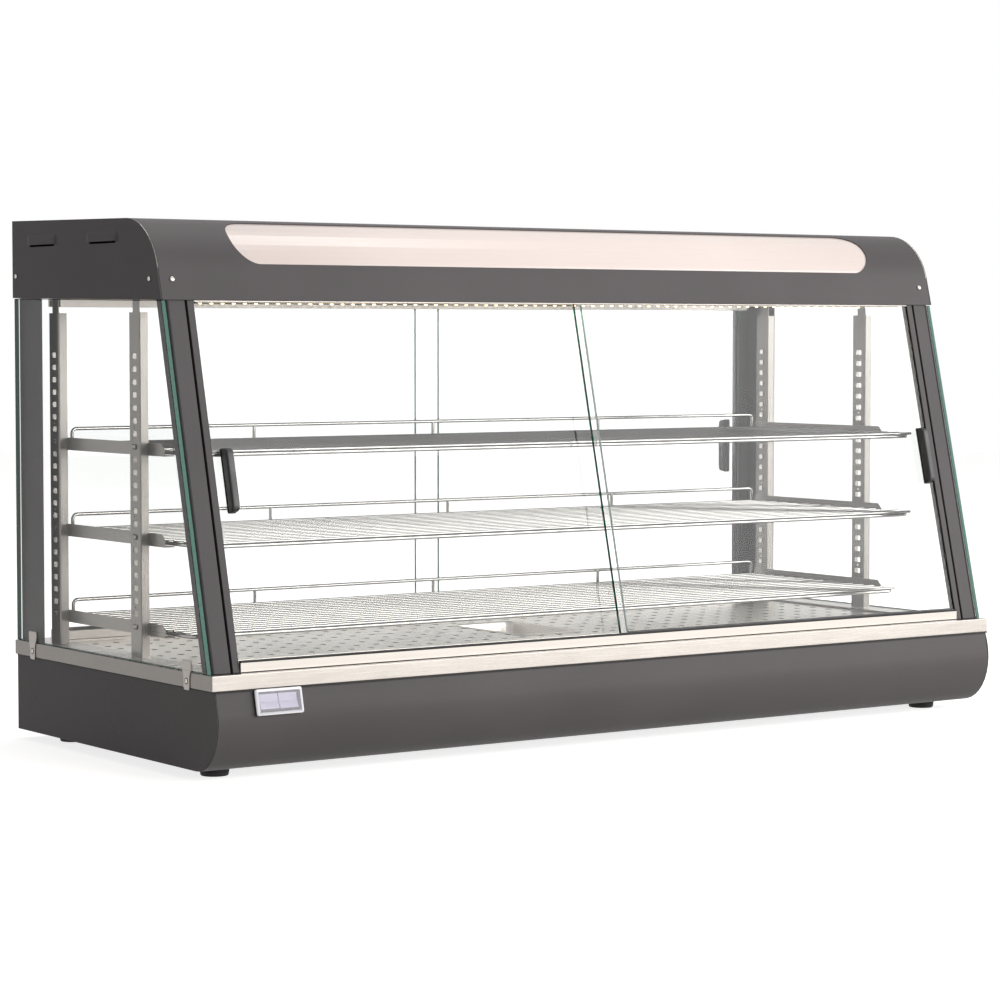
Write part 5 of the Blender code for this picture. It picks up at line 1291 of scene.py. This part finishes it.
class CASE_OT_kept_parts(bpy.types.Operator):
    """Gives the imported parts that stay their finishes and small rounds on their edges."""

    bl_idname = "case.kept_parts"
    bl_label = "Finishes on packed parts"

    def execute(self, context):
        """Assigns each part's finish, joins its facets and rounds its edges by its number of millimetres."""
        for look, parts in KEPT_PARTS.items():
            for start, edge in parts.items():
                names = [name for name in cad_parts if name.startswith(start)]
                if not names:
                    raise RuntimeError("no packed part starts with " + start)
                for name in names:
                    part = bpy.data.objects[name]
                    for slot in part.material_slots:
                        slot.material = FINISHES[look]
                    weld = part.modifiers.new("join", "WELD")
                    weld.merge_threshold = 0.00001
                    flat = part.modifiers.new("facets", "DECIMATE")
                    flat.decimate_type = "DISSOLVE"
                    flat.angle_limit = math.radians(0.5)
                    round_edges(part, edge * MM)
        return {"FINISHED"}


# Studio

def straight_rays(tree):
    """One for rays that come to the camera straight, mirrored or through glass, and nought for light that a
    matt surface has scattered, so that the white backdrop adds no light to the case."""
    rays = add(tree, "ShaderNodeLightPath")
    seen = rays.outputs["Is Camera Ray"]
    for kind in ("Is Glossy Ray", "Is Transmission Ray"):
        seen = worked(tree, "MAXIMUM", seen, rays.outputs[kind])
    return worked(tree, "MULTIPLY", seen, worked(tree, "LESS_THAN", rays.outputs["Diffuse Depth"], 0.5))


def studio_floor():
    """A matt pale floor, which the camera sees lifted to white where no shadow falls on it."""
    made, tree = finish("matt_studio_floor")
    base = tuple(settings("case_studio").floor)
    skin = tinted(tree, spread(tree, grain(tree, 1.5), 0, 1), shaded(base, 0.99), base)
    lift = worked(tree, "MULTIPLY", straight_rays(tree), 0.8)
    glow = add(tree, "ShaderNodeEmission", {"Color": (1, 1, 1, 1), "Strength": lift})
    both = add(tree, "ShaderNodeAddShader", {0: solid(tree, skin, 0.9).outputs[0], 1: glow.outputs[0]})
    return close(made, both)


def lamp(name, place, aim, size, power, tone="#FFFFFF"):
    """A soft rectangular lamp that looks at a point, and that the camera doesn't see itself."""
    made = bpy.data.lights.new(name, "AREA")
    made.shape = "RECTANGLE"
    made.size, made.size_y = size
    made.energy = power
    made.color = linear(tone)[:3]
    thing = bpy.data.objects.new(name, made)
    bpy.context.scene.collection.objects.link(thing)
    thing.location = place
    way = mathutils.Vector(aim) - mathutils.Vector(place)
    thing.rotation_euler = way.to_track_quat("-Z", "Y").to_euler()
    thing.visible_camera = False
    return thing


class CASE_OT_studio(bpy.types.Operator):
    """Adds the pale floor, the soft lamps and the camera at the photographed angle."""

    bl_idname = "case.studio"
    bl_label = "Studio"

    def execute(self, context):
        """Builds the floor, world, lamps and camera from the studio's settings."""
        studio = settings("case_studio")
        scene = context.scene
        radius, turn = 9, full_turn(64)
        rim = spots(radius * np.cos(turn), radius * np.sin(turn), -0.0002)
        mesh = bpy.data.meshes.new("studio_floor")
        mesh.from_pydata(rim.tolist(), [], [tuple(range(len(turn)))])
        mesh.materials.append(studio_floor())
        ground = bpy.data.objects.new("studio_floor", mesh)
        scene.collection.objects.link(ground)

        world = bpy.data.worlds.new("studio_world")
        world.use_nodes = True
        tree = world.node_tree
        tree.nodes.clear()
        strength = spread(tree, straight_rays(tree), studio.sky, 1.0, 0.0, 1.0)
        sky = add(tree, "ShaderNodeBackground", {"Color": (1, 1, 1, 1), "Strength": strength})
        tree.links.new(sky.outputs[0], add(tree, "ShaderNodeOutputWorld").inputs[0])
        scene.world = world
        scene.view_settings.view_transform = "Standard"

        lamp("key_lamp", (3.0, -4.3, 1.75), (0.0, 0.0, 0.4), (6.0, 3.4), studio.key)
        lamp("top_lamp", (0.2, 0.2, 3.2), (0.0, 0.0, 0.3), (2.6, 1.8), studio.fill)
        warm = lamp("canopy_light", (0.0, -0.117, 0.5435), (0.0, -0.10, 0.2), (1.08, 0.008), 1.2, "#FFD49A")
        warm.visible_glossy = False

        view = bpy.data.cameras.new("photo_camera")
        view.lens = studio.lens
        view.sensor_width = 36
        view.clip_end = 60
        camera = bpy.data.objects.new("photo_camera", view)
        camera.location = (-2.2579, -3.1796, 0.5111)
        camera.rotation_euler = (math.radians(86.8), 0, math.radians(-35))
        scene.collection.objects.link(camera)
        scene.camera = camera
        return {"FINISHED"}


class CASE_OT_finishes(bpy.types.Operator):
    """Makes the materials of the case."""

    bl_idname = "case.finishes"
    bl_label = "Finishes"

    def execute(self, context):
        """Makes every finish once, from the colour settings."""
        make_finishes()
        return {"FINISHED"}


# Panel, registration and the run

OPERATORS = (
    CASE_OT_finishes,
    CASE_OT_kept_parts,
    CASE_OT_canopy,
    CASE_OT_base_front,
    CASE_OT_feet,
    CASE_OT_clips,
    CASE_OT_floor,
    CASE_OT_lamps,
    CASE_OT_uprights,
    CASE_OT_shelves,
    CASE_OT_glass,
    CASE_OT_pulls,
    CASE_OT_door_shoes,
    CASE_OT_switch_cover,
    CASE_OT_studio,
)


class CASE_PT_panel(bpy.types.Panel):
    """Lists the steps and settings of the display case."""

    bl_label = "Display case"
    bl_idname = "CASE_PT_panel"
    bl_space_type = "VIEW_3D"
    bl_region_type = "UI"
    bl_category = "Display case"

    def draw(self, context):
        """Draws a button for each step, and the settings under them."""
        for step in OPERATORS:
            self.layout.operator(step.bl_idname)
        for name, group in SETTINGS.items():
            box = self.layout.box()
            for key in group.__annotations__:
                box.prop(getattr(context.scene, name), key)


CLASSES = (*SETTINGS.values(), *OPERATORS, CASE_PT_panel)


def register():
    """Registers the classes and hangs the settings on the scene."""
    for made in CLASSES:
        bpy.utils.register_class(made)
    for name, group in SETTINGS.items():
        setattr(bpy.types.Scene, name, bpy.props.PointerProperty(type=group))


def unregister():
    """Takes the settings and classes away again."""
    for name in SETTINGS:
        delattr(bpy.types.Scene, name)
    for made in reversed(CLASSES):
        bpy.utils.unregister_class(made)


def main():
    """Dresses the case step by step."""
    register()
    for step in OPERATORS:
        group, action = step.bl_idname.split(".")
        getattr(getattr(bpy.ops, group), action)()


if __name__ == "__main__":
    main()
